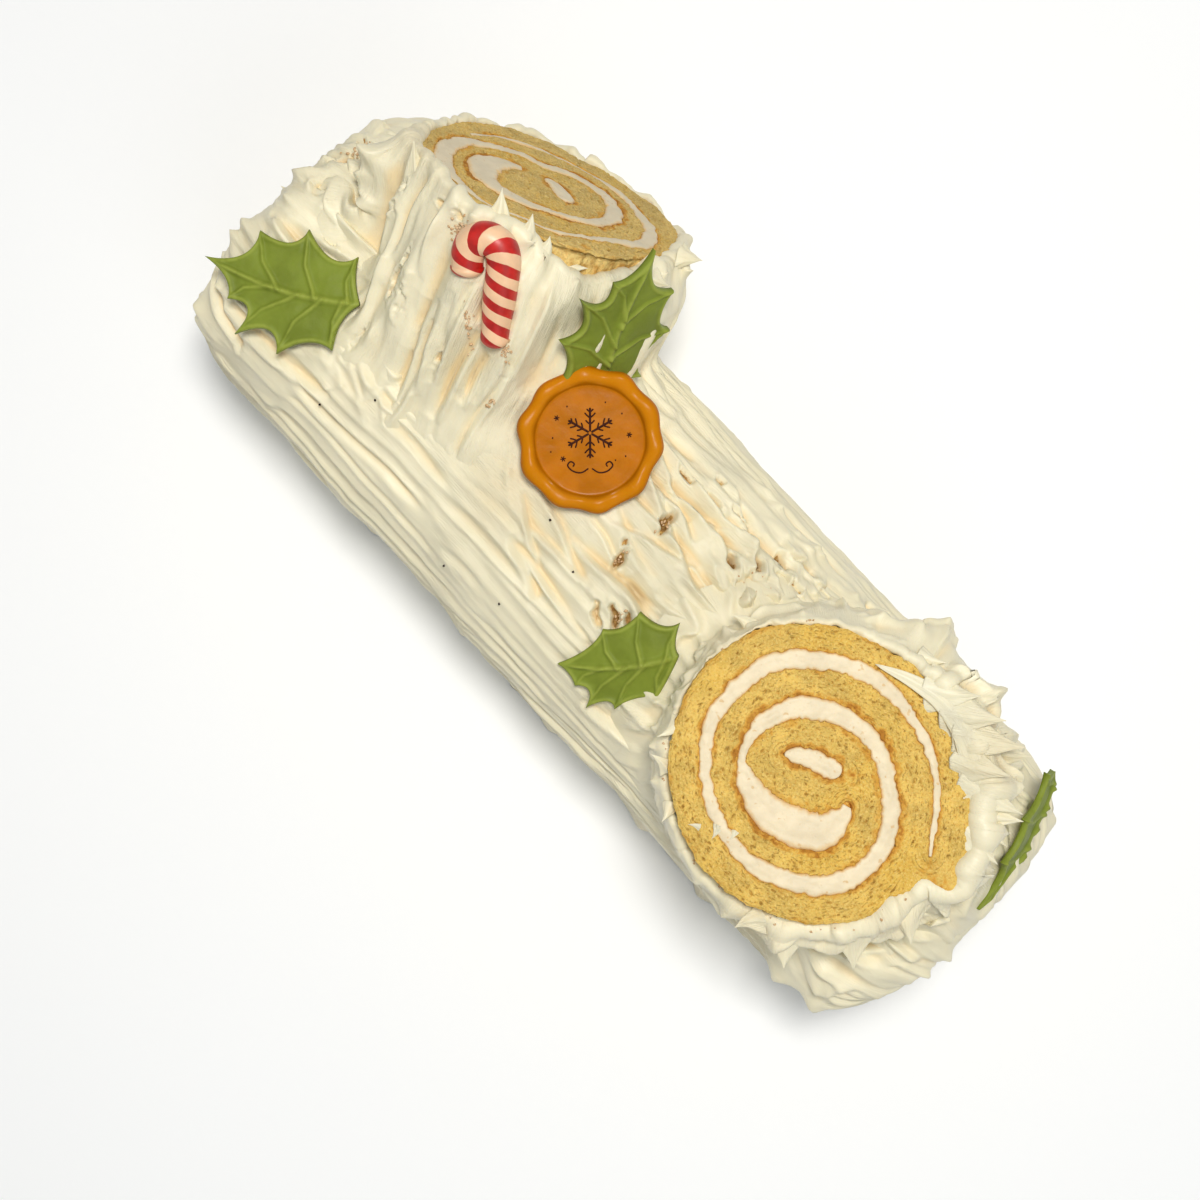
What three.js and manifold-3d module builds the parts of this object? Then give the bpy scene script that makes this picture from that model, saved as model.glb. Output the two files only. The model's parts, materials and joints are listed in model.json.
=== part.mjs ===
// A yule log cake: a frosted Swiss roll with a stump of roll standing out of its side as a branch, a round
// slice of roll lying on its crown, and a sugar cane, a wax-like seal and four holly leaves as decoration.
// Millimetres, +Z up. The origin is the middle of the flat underside, and +X runs along the log.

import * as THREE from "three";
import { mergeVertices } from "three/addons/utils/BufferGeometryUtils.js";
import Module from "manifold-3d";

// ---------------------------------------------------------------- driving dimensions

const GAP = 0.3; // clearance between pieces that touch
const FROSTING_COLOUR = 0xefe6c9;

const LOG = {
  ends: [-156.5, 149.5],
  halfWidth: 52.5,
  height: 99,
  shoulderPower: 2.3, // superellipse power of the rounded crown
  endRound: 15, // rounding between the crown and the two end walls
  endWaves: 1.3, // how far the end walls bulge in and out
  taper: 7, // how much narrower the log is at its end walls, on each side
  taperLength: 30,
  fluteDepth: 1.3, // spatula ridges along the log, crest over groove
  sway: 1.6, // slow unevenness of the frosting
  footFlare: [2.6, 1.3], // how far the frosting spreads at the foot, on the -Y side and the +Y side
  crownSteps: 44,
  flankSteps: 6,
  baseSteps: 5,
  rings: 11,
};

const SLICE_RADIUS = 43.4; // the roll's sponge, as the crown slice shows it
const BRANCH_RADIUS = 42;

// Centre of each cut face, the directions of its own x and y axes, and how deep the piece of roll goes.
const CROWN_SLICE = {
  centre: [79.3, -1.7, 122],
  xAxis: [0.686, 0.728, 0],
  yAxis: [-0.728, 0.686, 0],
  depth: 22.5,
};
const BRANCH_SLICE = {
  centre: [-99.3, 60.6, 92.4],
  xAxis: [0.947, 0.321, 0],
  yAxis: [-0.152, 0.448, -0.881],
  depth: 30,
};

// A frosting collar round each piece of roll, as [radius, height over the cut face] from its root to its lip.
const CROWN_COLLAR = {
  profile: [[0, -44], [44, -44], [49.5, -33], [51.3, -21], [50, -10], [48.2, -3]],
  lipRadius: 45.6,
  flutes: 18,
  fluteDepth: 1.8,
  lip: 1.6,
  lipRagged: 1.5,
};
const BRANCH_COLLAR = {
  profile: [[0, -76], [37, -76], [44.5, -56], [47.6, -34], [48.2, -18], [47.6, -8]],
  lipRadius: 45.2,
  flutes: 18,
  fluteDepth: 1.5,
  lip: -0.5,
  lipRagged: 1.2,
  bare: { at: -62, width: 34, drop: 8 }, // degrees and mm: where the roll's golden side shows
};

// Edge of each cut face, [degrees, share of the radius]; the crown slice has the roll's loose outer flap.
const CROWN_EDGE = [
  [-49, 0.96], [-41, 1.17], [-30, 1.11], [-12, 1.04], [10, 0.99], [35, 0.96], [60, 0.93], [90, 0.99],
  [118, 1.05], [142, 1.05], [165, 1.02], [190, 1], [218, 1], [250, 0.98], [280, 0.99], [303, 0.95],
];
const BRANCH_EDGE = [
  [-164, 1.01], [-149, 1.08], [-131, 1.05], [-118, 1.04], [-105, 1.03], [-97, 1], [-86, 0.95],
  [-78, 0.96], [-65, 0.94], [-54, 0.91], [-28, 0.87], [-10, 0.9], [7, 0.94], [33, 1.04], [47, 1.03],
  [61, 1.01], [80, 0.99], [95, 0.95], [109, 1.02], [126, 1.01], [146, 0.99], [171, 0.95],
];

// Centre line of the filling, [degrees, share of the radius, half thickness as a share of the radius], from
// the roll's outside to its heart. The crown's winds inwards anticlockwise, the branch's clockwise.
const CROWN_SPIRAL = [
  [-37, 0.89, 0.014], [-7, 0.76, 0.027], [24, 0.71, 0.034], [57, 0.717, 0.055], [88, 0.75, 0.06],
  [117, 0.808, 0.062], [149, 0.806, 0.052], [176, 0.772, 0.04], [207, 0.75, 0.047], [236, 0.742, 0.056],
  [268, 0.727, 0.07], [296, 0.675, 0.067], [323, 0.558, 0.06], [352, 0.445, 0.055], [388, 0.405, 0.058],
  [432, 0.408, 0.066], [470, 0.471, 0.074], [502, 0.525, 0.052], [526, 0.536, 0.026], [545, 0.49, 0.07],
  [580, 0.42, 0.12], [625, 0.369, 0.125], [653, 0.308, 0.07], [669, 0.268, 0.03],
];
const BRANCH_SPIRAL = [
  [161, 0.798, 0.016], [139, 0.779, 0.017], [119, 0.769, 0.018], [102, 0.727, 0.019], [85, 0.732, 0.022],
  [70, 0.743, 0.03], [56, 0.748, 0.036], [36, 0.731, 0.044], [18, 0.764, 0.052], [-7, 0.753, 0.06],
  [-28, 0.668, 0.045], [-54, 0.674, 0.03], [-75, 0.765, 0.019], [-93, 0.816, 0.018],
  [-107, 0.928, 0.024], [-122, 0.931, 0.04], [-141, 0.902, 0.066], [-164, 0.828, 0.07],
  [-185, 0.732, 0.06], [-203, 0.626, 0.05], [-224, 0.533, 0.045], [-245, 0.452, 0.042],
  [-273, 0.519, 0.048], [-307, 0.535, 0.056], [-342, 0.47, 0.068], [-382, 0.413, 0.05],
  [-424, 0.401, 0.03], [-464, 0.52, 0.06], [-490, 0.608, 0.098], [-516, 0.55, 0.12], [-542, 0.436, 0.08],
  [-560, 0.326, 0.03],
];
const SPIRAL_STEPS = 48;

// The island of filling at the heart of each roll: [x, y, half length, half width] in shares, and its tilt.
const CROWN_HEART = { at: [-0.066, 0.066], half: [0.235, 0.068], tilt: -21 };
const BRANCH_HEART = { at: [-0.002, 0.049], half: [0.21, 0.075], tilt: -47 };

const CANE = {
  root: [-75.7, 15.6, 121], // centre of the leg's foot
  xAxis: [0.779, 0.614, 0.131],
  yAxis: [-0.595, 0.656, 0.4655],
  radius: 4.2,
  sides: 10,
  path: [
    [0, 0.6], [0.7, 10.4], [1.5, 19.4], [1.6, 24], [0.1, 27.7], [-3.6, 29.4], [-7.4, 27.8], [-8.8, 24.4],
    [-8.8, 20.8],
  ],
};

const SEAL = {
  centre: [-37, 16.6, 104], // middle of its underside
  normal: [0.11, -0.08, 1],
  radius: 21.2,
  scallops: 10,
  scallopDepth: 0.6,
  // [share of the radius, height]: underside, rolled edge, rim and the pressed field inside it
  profile: [
    [0, 0], [0.9, 0], [1, 1.2], [0.99, 3.2], [0.92, 4.6], [0.84, 4.7], [0.78, 3.4], [0.4, 3.3], [0, 3.3],
  ],
};

// Outlines of the holly leaves, in shares of their length from stem to tip. Each spike is [where its vein
// leaves the midrib, x, y], and each hollow between two spikes is [x, y], listed from tip to stem.
const BROAD_LEAF = {
  left: {
    spikes: [[0.557, 0.79, 0.203], [0.37, 0.69, 0.393], [0.223, 0.41, 0.43], [0.1, 0.09, 0.31]],
    hollows: [[0.84, 0.085], [0.655, 0.226], [0.5, 0.31], [0.247, 0.31], [0.08, 0.13]],
  },
  right: {
    spikes: [[0.5, 0.717, -0.247], [0.27, 0.435, -0.34], [0.07, 0.1, -0.27]],
    hollows: [[0.78, -0.075], [0.526, -0.23], [0.25, -0.215], [0.07, -0.13]],
  },
};
const SHORT_LEAF = {
  left: {
    spikes: [[0.62, 0.88, 0.19], [0.42, 0.82, 0.385], [0.26, 0.58, 0.41], [0.1, 0.22, 0.34]],
    hollows: [[0.92, 0.08], [0.77, 0.24], [0.64, 0.34], [0.4, 0.33], [0.09, 0.15]],
  },
  right: {
    spikes: [[0.5, 0.59, -0.26], [0.3, 0.28, -0.37], [0.1, -0.03, -0.26]],
    hollows: [[0.74, -0.11], [0.44, -0.26], [0.12, -0.25], [0.02, -0.1]],
  },
};
const LEAF = {
  midribBow: 0.06,
  thickness: 1.7,
  relief: { 0: 0.9, 0.12: 0.1, 0.9: 0.45, 1: -0.1 }, // raised midrib and rim, by share of the way to the edge
  vein: 0.5,
  stepsPerHollow: 2,
};

// Each leaf's outline, stem end, tip and a direction that its face looks in, and how it bends: droop is the
// radius of the bend along it, arch the radius of the bend across it.
const LEAVES = [
  {
    cut: BROAD_LEAF,
    stem: [-112.4, -5.4, 103],
    tip: [-155.5, -28.9, 98.5],
    face: [-0.07, -0.12, 1],
    droop: 400,
    arch: 110,
  },
  {
    cut: BROAD_LEAF,
    stem: [-46.4, 28.5, 97.2],
    tip: [-62.3, 65.6, 128.6],
    face: [0.849, -0.084, 0.522],
    droop: 400,
    arch: 300,
  },
  {
    cut: SHORT_LEAF,
    stem: [27.4, -7.9, 101.5],
    tip: [4.5, -35.8, 91.5],
    face: [-0.1, -0.42, 1],
    droop: 200,
    arch: 60,
  },
  {
    cut: BROAD_LEAF,
    stem: [131, 51.5, 87],
    tip: [143.5, 6.5, 88],
    face: [0.96, 0.27, 0.1],
    droop: 120,
    arch: 160,
  },
];

// ---------------------------------------------------------------- solids

const wasm = await Module();
wasm.setup();

// A three.js geometry, placed by a matrix, as a manifold-3d solid.
function solidOf(geometry, matrix = new THREE.Matrix4()) {
  const bare = new THREE.BufferGeometry().setAttribute("position", geometry.getAttribute("position").clone());
  bare.setIndex(geometry.index).applyMatrix4(matrix);
  const merged = mergeVertices(bare, 1e-4);
  const vertProperties = new Float32Array(merged.attributes.position.array);
  const triVerts = new Uint32Array(merged.index.array);
  return new wasm.Manifold(new wasm.Mesh({ numProp: 3, vertProperties, triVerts }));
}

// A manifold-3d solid as a flat-shaded three.js geometry.
function geometryOf(solid) {
  const { vertProperties, triVerts } = solid.getMesh();
  const geometry = new THREE.BufferGeometry();
  geometry.setAttribute("position", new THREE.BufferAttribute(new Float32Array(vertProperties), 3));
  geometry.setIndex(new THREE.BufferAttribute(new Uint32Array(triVerts), 1));
  const flat = geometry.toNonIndexed();
  flat.computeVertexNormals();
  return flat;
}

// The placing matrix of a piece with its origin at a point and its own x and y axes along two directions.
function placed(origin, xAxis, yAxis) {
  const x = new THREE.Vector3(...xAxis).normalize();
  const z = new THREE.Vector3(...yAxis).cross(x).negate().normalize();
  const y = new THREE.Vector3().crossVectors(z, x);
  return new THREE.Matrix4().makeBasis(x, y, z).setPosition(...origin);
}

// A smooth, fixed unevenness between about -1 and 1, from three waves of unlike lengths.
function uneven(a, b) {
  const waves = [a * 1.7 + b * 0.9, a * 0.63 - b * 2.1 + 1.3, a * 3.1 + b * 1.4 + 4];
  return waves.reduce((sum, phase) => sum + Math.sin(phase), 0) / waves.length;
}

// The value of a closed list of [degrees, value] at an angle, eased between its entries.
function around(list, degrees) {
  const first = list[0][0];
  const angle = first + THREE.MathUtils.euclideanModulo(degrees - first, 360);
  const next = list.findIndex(([at]) => at > angle);
  const [a0, v0] = list[(next < 0 ? list.length : next) - 1];
  const [a1, v1] = next < 0 ? [first + 360, list[0][1]] : list[next];
  return THREE.MathUtils.lerp(v0, v1, THREE.MathUtils.smoothstep(angle, a0, a1));
}

// ---------------------------------------------------------------- frosting

// One station of the log's cross-section, from the left foot over the crown to the right foot and back.
function logSection(step) {
  const { halfWidth, height, shoulderPower, crownSteps, flankSteps, baseSteps } = LOG;
  const waist = height / 2;
  if (step < flankSteps) return [-halfWidth, (waist * step) / flankSteps];
  if (step <= flankSteps + crownSteps) {
    const angle = Math.PI * ((step - flankSteps) / crownSteps - 0.5);
    const [across, up] = [Math.sin(angle), Math.cos(angle)];
    const reach = Math.abs(across / halfWidth) ** shoulderPower + Math.abs(up / waist) ** shoulderPower;
    const radius = reach ** (-1 / shoulderPower);
    return [radius * across, waist + radius * up];
  }
  const down = step - flankSteps - crownSteps;
  if (down <= flankSteps) return [halfWidth, waist * (1 - down / flankSteps)];
  return [halfWidth * (1 - (2 * (down - flankSteps)) / (baseSteps + 1)), 0];
}

// Stations of the log's profile from wall to wall, as [share of the cross-section, x].
function logProfile() {
  const { ends, height, endRound, rings } = LOG;
  const wall = 1 - (2 * endRound) / height; // where the wall's flat part ends
  const corner = [[0, 0], [wall * 0.5, 0], [wall, 0], [1 - 0.3 * (1 - wall), 0.3]];
  return [
    ...corner.map(([share, inset]) => [share, ends[0] + inset * endRound]),
    ...Array.from({ length: rings }, (_, i) =>
      [1, THREE.MathUtils.lerp(ends[0] + endRound, ends[1] - endRound, i / (rings - 1))],
    ),
    ...corner.map(([share, inset]) => [share, ends[1] - inset * endRound]).reverse(),
  ];
}

// How much wider or narrower than its plain section the log is at a height and a place along it: spread at
// the foot, narrowed towards the end walls.
function logWidening(x, y, heightShare) {
  const { ends, halfWidth, footFlare, taper, taperLength } = LOG;
  const flare = footFlare[y < 0 ? 0 : 1] * (1 - heightShare) ** 4 * (1 + 0.6 * uneven(x / 9, 1));
  const toEnd = Math.min(1, Math.min(x - ends[0], ends[1] - x) / taperLength);
  return 1 + (flare - taper * (1 - toEnd) ** 2) / halfWidth;
}

// The log: a lathe whose profile runs along the axis from wall to wall, its circle reshaped into the
// cross-section, with a ridge on every second station and slow waves along them.
function logGeometry() {
  const { ends, height, endRound, endWaves, fluteDepth, sway, crownSteps, flankSteps, baseSteps } = LOG;
  const sectors = crownSteps + 2 * flankSteps + baseSteps + 1;
  const waist = height / 2;
  const wall = 1 - endRound / waist;
  const profile = logProfile();
  const geometry = new THREE.LatheGeometry(profile.map((p) => new THREE.Vector2(...p)), sectors);
  const position = geometry.attributes.position;
  for (let i = 0; i < position.count; i += 1) {
    const step = (sectors - Math.floor(i / profile.length)) % sectors;
    const [share, x] = profile[i % profile.length];
    const [y, z] = logSection(step);
    const onBase = z === 0;
    const heightShare = THREE.MathUtils.smoothstep(z, 0, waist);
    // low down, the end walls stay upright right to the foot
    const reach = THREE.MathUtils.lerp(share > wall ? 1 : share, share, heightShare);
    const ridge = (step % 2 ? 0.5 : -0.5) * fluteDepth * (0.75 + 0.5 * uneven(x / 31, step / 3));
    const lump = sway * uneven(x / 27 + 2, step / 5);
    const grow = onBase ? 1 : 1 + (ridge + lump) / waist;
    const across = y * reach * grow * logWidening(x, y, heightShare);
    const up = waist + (z - waist) * reach * grow;
    const outward = x < (ends[0] + ends[1]) / 2 ? -1 : 1;
    const bulge = share < 1 && !onBase ? outward * endWaves * uneven(across / 9, up / 11) : 0;
    position.setXYZ(i, x + bulge, across, up);
  }
  return geometry;
}

// How far a collar's lip stands above the cut face on one of its sectors.
function lipHeight({ lip, lipRagged, bare }, angle, onCrest) {
  const ragged = onCrest ? lipRagged * (1 + uneven(angle * 5, 2)) : 0;
  if (!bare) return lip + ragged;
  const turned = THREE.MathUtils.radToDeg(angle) - bare.at;
  const away = Math.abs(THREE.MathUtils.euclideanModulo(turned + 180, 360) - 180);
  const covered = THREE.MathUtils.smoothstep(away, bare.width * 0.6, bare.width * 1.3);
  return lip + ragged - bare.drop * (1 - covered);
}

// A collar: a lathe with a flute on every second sector and a ragged lip, in its cut face's own frame. The
// rows of its profile rise with the lip, the nearer to it the more.
function collarGeometry(collar) {
  const { profile, lipRadius, flutes, fluteDepth, lip } = collar;
  const sectors = 2 * flutes;
  const points = [...profile, [lipRadius, 0], [0, lip - 2]];
  const geometry = new THREE.LatheGeometry(points.map((p) => new THREE.Vector2(...p)), sectors);
  const position = geometry.attributes.position;
  for (let i = 0; i < position.count; i += 1) {
    const sector = Math.floor(i / points.length) % sectors;
    const row = i % points.length;
    const [radius, height] = points[row];
    const angle = (2 * Math.PI * sector) / sectors;
    const onCrest = sector % 2 === 1;
    const smooth = row < 2 || radius === 0;
    const wave = smooth ? 0 : (onCrest ? 0.5 : -0.5) * fluteDepth + 0.9 * uneven(angle * 2.5, height / 9);
    const nearLip = THREE.MathUtils.clamp((row - profile.length + 3) / 3, 0, 1);
    const rise = radius === 0 ? 0 : nearLip ** 2 * lipHeight(collar, angle, onCrest);
    position.setXYZ(i, (radius + wave) * Math.cos(angle), (radius + wave) * Math.sin(angle), height + rise);
  }
  return geometry;
}

// ---------------------------------------------------------------- pieces of roll

// The edge of a cut face as a shape, widened by a margin.
function faceShape(edge, radius, margin = 0) {
  const steps = 44;
  const points = Array.from({ length: steps }, (_, i) => {
    const degrees = edge[0][0] + (360 * i) / steps;
    const reach = radius * around(edge, degrees) + margin;
    return new THREE.Vector2(reach, 0).rotateAround(new THREE.Vector2(), THREE.MathUtils.degToRad(degrees));
  });
  return new THREE.Shape(points);
}

// The filling's spiral band as a shape: both sides of its centre line, widened by a margin.
function bandShape(spiral, radius, margin = 0) {
  const knots = spiral.map(([degrees, share, half]) => {
    const angle = THREE.MathUtils.degToRad(degrees);
    return new THREE.Vector3(Math.cos(angle) * share, Math.sin(angle) * share, half).multiplyScalar(radius);
  });
  const line = new THREE.CatmullRomCurve3(knots);
  const sides = [[], []];
  for (let i = 0; i <= SPIRAL_STEPS; i += 1) {
    const at = line.getPointAt(i / SPIRAL_STEPS);
    const along = line.getTangentAt(i / SPIRAL_STEPS).setZ(0).normalize();
    const past = margin * (i === 0 ? -1 : i === SPIRAL_STEPS ? 1 : 0);
    const reach = at.z + margin;
    const centre = new THREE.Vector2(at.x + along.x * past, at.y + along.y * past);
    sides[0].push(new THREE.Vector2(centre.x - along.y * reach, centre.y + along.x * reach));
    sides[1].unshift(new THREE.Vector2(centre.x + along.y * reach, centre.y - along.x * reach));
  }
  return new THREE.Shape([...sides[0], ...sides[1]]);
}

function heartShape({ at, half, tilt }, radius, margin = 0) {
  const [x, y] = at.map((share) => share * radius);
  const [long, wide] = half.map((share) => share * radius + margin);
  const turn = THREE.MathUtils.degToRad(tilt);
  const curve = new THREE.EllipseCurve(x, y, long, wide, 0, 2 * Math.PI, false, turn);
  return new THREE.Shape(curve.getPoints(16).slice(0, -1));
}

// A shape extruded from the cut face back into the roll.
function cutBack(shape, depth, past = 0) {
  const geometry = new THREE.ExtrudeGeometry(shape, { depth: depth + past, bevelEnabled: false });
  return geometry.translate(0, 0, -depth);
}

// Sponge, filling and heart of one piece of roll, and the pocket that it fills in the frosting.
function rollPieces(slice, radius, edge, spiral, heart) {
  const matrix = placed(slice.centre, slice.xAxis, slice.yAxis);
  const sponge = faceShape(edge, radius);
  sponge.holes = [bandShape(spiral, radius, GAP), heartShape(heart, radius, GAP)];
  return {
    sponge: solidOf(cutBack(sponge, slice.depth), matrix),
    cream: solidOf(cutBack(bandShape(spiral, radius), slice.depth), matrix),
    heart: solidOf(cutBack(heartShape(heart, radius), slice.depth), matrix),
    pocket: solidOf(cutBack(faceShape(edge, radius, GAP), slice.depth + GAP, 30), matrix),
  };
}

// ---------------------------------------------------------------- decorations

// The cane: a round rod along its hooked path with a ball at each end.
function caneSolid(margin = 0) {
  const { root, xAxis, yAxis, path, sides } = CANE;
  const radius = CANE.radius + margin;
  const matrix = placed(root, xAxis, yAxis);
  const line = new THREE.CatmullRomCurve3(path.map(([x, y]) => new THREE.Vector3(x, y, 0)));
  const circle = new THREE.Shape(new THREE.EllipseCurve(0, 0, radius, radius).getPoints(sides).slice(0, -1));
  const rod = new THREE.ExtrudeGeometry(circle, { steps: 13, extrudePath: line, bevelEnabled: false });
  const ends = [path[0], path[path.length - 1]].map(([x, y]) => {
    const ball = new THREE.SphereGeometry(radius * 0.985, sides, 6).translate(x, y, 0);
    return solidOf(ball, matrix);
  });
  return ends.reduce((whole, ball) => whole.add(ball), solidOf(rod, matrix));
}

// The seal: a lathe with a scalloped edge.
function sealSolid(margin = 0) {
  const { centre, normal, radius, scallops, scallopDepth, profile } = SEAL;
  const sectors = 4 * scallops;
  const middle = profile.length / 2;
  const points = profile.map(([share, height], i) => {
    const reach = share === 0 ? 0 : share * radius + margin;
    return new THREE.Vector2(reach, height + (i < middle / 2 ? -margin : margin));
  });
  const geometry = new THREE.LatheGeometry(points, sectors);
  const position = geometry.attributes.position;
  for (let i = 0; i < position.count; i += 1) {
    const sector = Math.floor(i / points.length) % sectors;
    const { x: reach, y: height } = points[i % points.length];
    const angle = (2 * Math.PI * sector) / sectors;
    const edge = THREE.MathUtils.smoothstep(reach / radius, 0.5, 0.95);
    const scallop = scallopDepth * Math.cos(scallops * angle) + 0.4 * uneven(angle * 3, 0);
    const grown = reach === 0 ? 0 : reach + edge * scallop;
    position.setXYZ(i, grown * Math.cos(angle), grown * Math.sin(angle), height);
  }
  const z = new THREE.Vector3(...normal).normalize();
  const x = new THREE.Vector3(1, 0, 0).addScaledVector(z, -z.x);
  const y = new THREE.Vector3().crossVectors(z, x);
  return solidOf(geometry, placed(centre, x.toArray(), y.toArray()));
}

// One side of a leaf, as hollows between neighbouring spikes: each an arc along the edge and the stretch of
// midrib, from root0 to root1, that its surface starts from.
function leafHollows({ spikes, hollows }) {
  const corners = [[1, 1, 0], ...spikes, [0, 0, 0]];
  return hollows.map(([x, y], k) => {
    const [root0, x0, y0] = corners[k];
    const [root1, x1, y1] = corners[k + 1];
    const pull = new THREE.Vector2(2 * x - (x0 + x1) / 2, 2 * y - (y0 + y1) / 2);
    const arc = new THREE.QuadraticBezierCurve(new THREE.Vector2(x0, y0), pull, new THREE.Vector2(x1, y1));
    return { root0, root1, arc };
  });
}

// Places along the midrib, from tip to stem, where either side has a station.
function leafRoots(sides) {
  const steps = LEAF.stepsPerHollow;
  const roots = sides.flat().flatMap(({ root0, root1 }) =>
    Array.from({ length: steps + 1 }, (_, i) => THREE.MathUtils.lerp(root0, root1, i / steps)),
  );
  return roots.sort((a, b) => b - a).filter((root, i) => i === 0 || roots[i - 1] - root > 1e-4);
}

// The station of one side at a place on the midrib: its point on the edge, and whether a vein runs there.
// Turn is 1 on the left side and -1 on the right, and widen points away from the leaf past its edge.
function leafStation(side, turn, root) {
  const hollow = side.find(({ root1 }) => root >= root1 - 1e-9);
  const t = THREE.MathUtils.clamp((hollow.root0 - root) / (hollow.root0 - hollow.root1), 0, 1);
  const vein = root > 0.01 && root < 0.99 && Math.min(t, 1 - t) < 1e-6 ? 1 : 0;
  const midrib = new THREE.Vector2(root, LEAF.midribBow * Math.sin(Math.PI * root));
  const edge = hollow.arc.getPoint(t);
  const tangent = hollow.arc.getTangent(t);
  const outward = new THREE.Vector2(tangent.y * turn, -tangent.x * turn);
  const widen = edge.clone().sub(midrib).normalize().multiplyScalar(1.6).add(outward);
  return { edge, midrib, vein, widen };
}

// A leaf as a closed sheet: quads between the midrib and both edges, above and below, with raised midrib,
// veins and rim, then bent along and across and laid in place.
function leafSolid({ cut, stem, tip, face, droop, arch }, margin = 0) {
  const along = new THREE.Vector3(...tip).sub(new THREE.Vector3(...stem));
  const across = new THREE.Vector3(...face).cross(along);
  const length = along.length();
  const sides = [leafHollows(cut.left), leafHollows(cut.right)];
  const roots = leafRoots(sides);
  const vertices = [];
  const point = ({ edge, midrib, vein, widen }, share, above) => {
    const pointed = edge.distanceTo(midrib) * length < 0.01; // tip and stem end, where both sides meet
    const at = midrib.clone().lerp(edge, share).multiplyScalar(length);
    const sag = (at.x - length / 2) ** 2 / (2 * droop) + at.y ** 2 / (2 * arch);
    if (share === 1 && !pointed) at.addScaledVector(widen, 1.3 * margin);
    if (pointed) at.x += (midrib.x > 0.5 ? 2.4 : -2.4) * margin;
    const fade = Math.min(1, 8 * midrib.x, 8 * (1 - midrib.x));
    const relief = fade * (LEAF.relief[share] + (share > 0 && share < 1 ? vein * LEAF.vein : 0));
    return new THREE.Vector3(at.x, at.y, (above ? LEAF.thickness + relief + margin : -margin) - sag);
  };
  const quad = (a, b, c, d) => {
    for (const corners of [[a, b, c], [a, c, d]]) {
      const [p, q, r] = corners;
      const flat = p.distanceTo(q) < 1e-3 || q.distanceTo(r) < 1e-3 || r.distanceTo(p) < 1e-3;
      if (!flat) vertices.push(p, q, r);
    }
  };
  const shares = Object.keys(LEAF.relief).map(Number).sort();
  sides.forEach((side, s) => {
    const turn = s === 0 ? 1 : -1;
    for (let i = 0; i + 1 < roots.length; i += 1) {
      const pair = [leafStation(side, turn, roots[i]), leafStation(side, turn, roots[i + 1])];
      const [near, far] = s === 0 ? pair.reverse() : pair;
      for (let r = 0; r + 1 < shares.length; r += 1) {
        const inner = [near, far].map((station) => point(station, shares[r], true));
        const outer = [far, near].map((station) => point(station, shares[r + 1], true));
        quad(...inner, ...outer);
      }
      quad(point(far, 0, false), point(near, 0, false), point(near, 1, false), point(far, 1, false));
      quad(point(far, 1, false), point(near, 1, false), point(near, 1, true), point(far, 1, true));
    }
  });
  const geometry = new THREE.BufferGeometry().setFromPoints(vertices);
  return solidOf(geometry, placed(stem, along.toArray(), across.toArray()));
}

// ---------------------------------------------------------------- the cake

const crown = rollPieces(CROWN_SLICE, SLICE_RADIUS, CROWN_EDGE, CROWN_SPIRAL, CROWN_HEART);
const branch = rollPieces(BRANCH_SLICE, BRANCH_RADIUS, BRANCH_EDGE, BRANCH_SPIRAL, BRANCH_HEART);

const collars = [
  solidOf(collarGeometry(CROWN_COLLAR), placed(CROWN_SLICE.centre, CROWN_SLICE.xAxis, CROWN_SLICE.yAxis)),
  solidOf(collarGeometry(BRANCH_COLLAR), placed(BRANCH_SLICE.centre, BRANCH_SLICE.xAxis, BRANCH_SLICE.yAxis)),
];
const cutters = [
  crown.pocket,
  branch.pocket,
  caneSolid(GAP),
  sealSolid(GAP),
  ...LEAVES.map((leaf) => leafSolid(leaf, 2 * GAP)),
];
const frosting = cutters.reduce(
  (body, cutter) => body.subtract(cutter),
  collars.reduce((body, collar) => body.add(collar), solidOf(logGeometry())),
);

const cake = new THREE.Group();

function addPiece(name, solid, color, roughness) {
  const material = new THREE.MeshStandardMaterial({ color, roughness, metalness: 0 });
  const mesh = new THREE.Mesh(geometryOf(solid), material);
  mesh.name = name;
  cake.add(mesh);
}

addPiece("frosted_log", frosting, FROSTING_COLOUR, 0.45);
addPiece("crown_sponge", crown.sponge, 0xe3bf62, 0.95);
addPiece("crown_cream", crown.cream, 0xf4ead0, 0.5);
addPiece("crown_cream_heart", crown.heart, 0xf4ead0, 0.5);
addPiece("branch_sponge", branch.sponge, 0xd2bb84, 0.95);
addPiece("branch_cream", branch.cream, 0xe0dac2, 0.5);
addPiece("branch_cream_heart", branch.heart, 0xe0dac2, 0.5);
addPiece("candy_cane", caneSolid(), 0xb81410, 0.35);
addPiece("seal", sealSolid(), 0xd98a1e, 0.4);
LEAVES.forEach((leaf, i) => {
  // the seal presses on the stem end of the leaf under it, which is trimmed to fit
  const bodies = leafSolid(leaf).subtract(sealSolid(GAP)).decompose();
  const [body] = bodies.sort((a, b) => b.volume() - a.volume());
  addPiece(`holly_leaf_${i + 1}`, body, 0x7f8d35, 0.6);
});

export default cake;
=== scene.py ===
"""Yule log cake.

A frosted Swiss roll with a stump of roll standing out of its side as a branch, a round slice of roll on its
crown, a striped sugar cane, a round seal and holly leaves. Lengths in the functions are millimetres in the
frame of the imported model: X along the log, Y towards the branch, Z up, origin under the middle of the log.
"""

import json
import math

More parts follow.
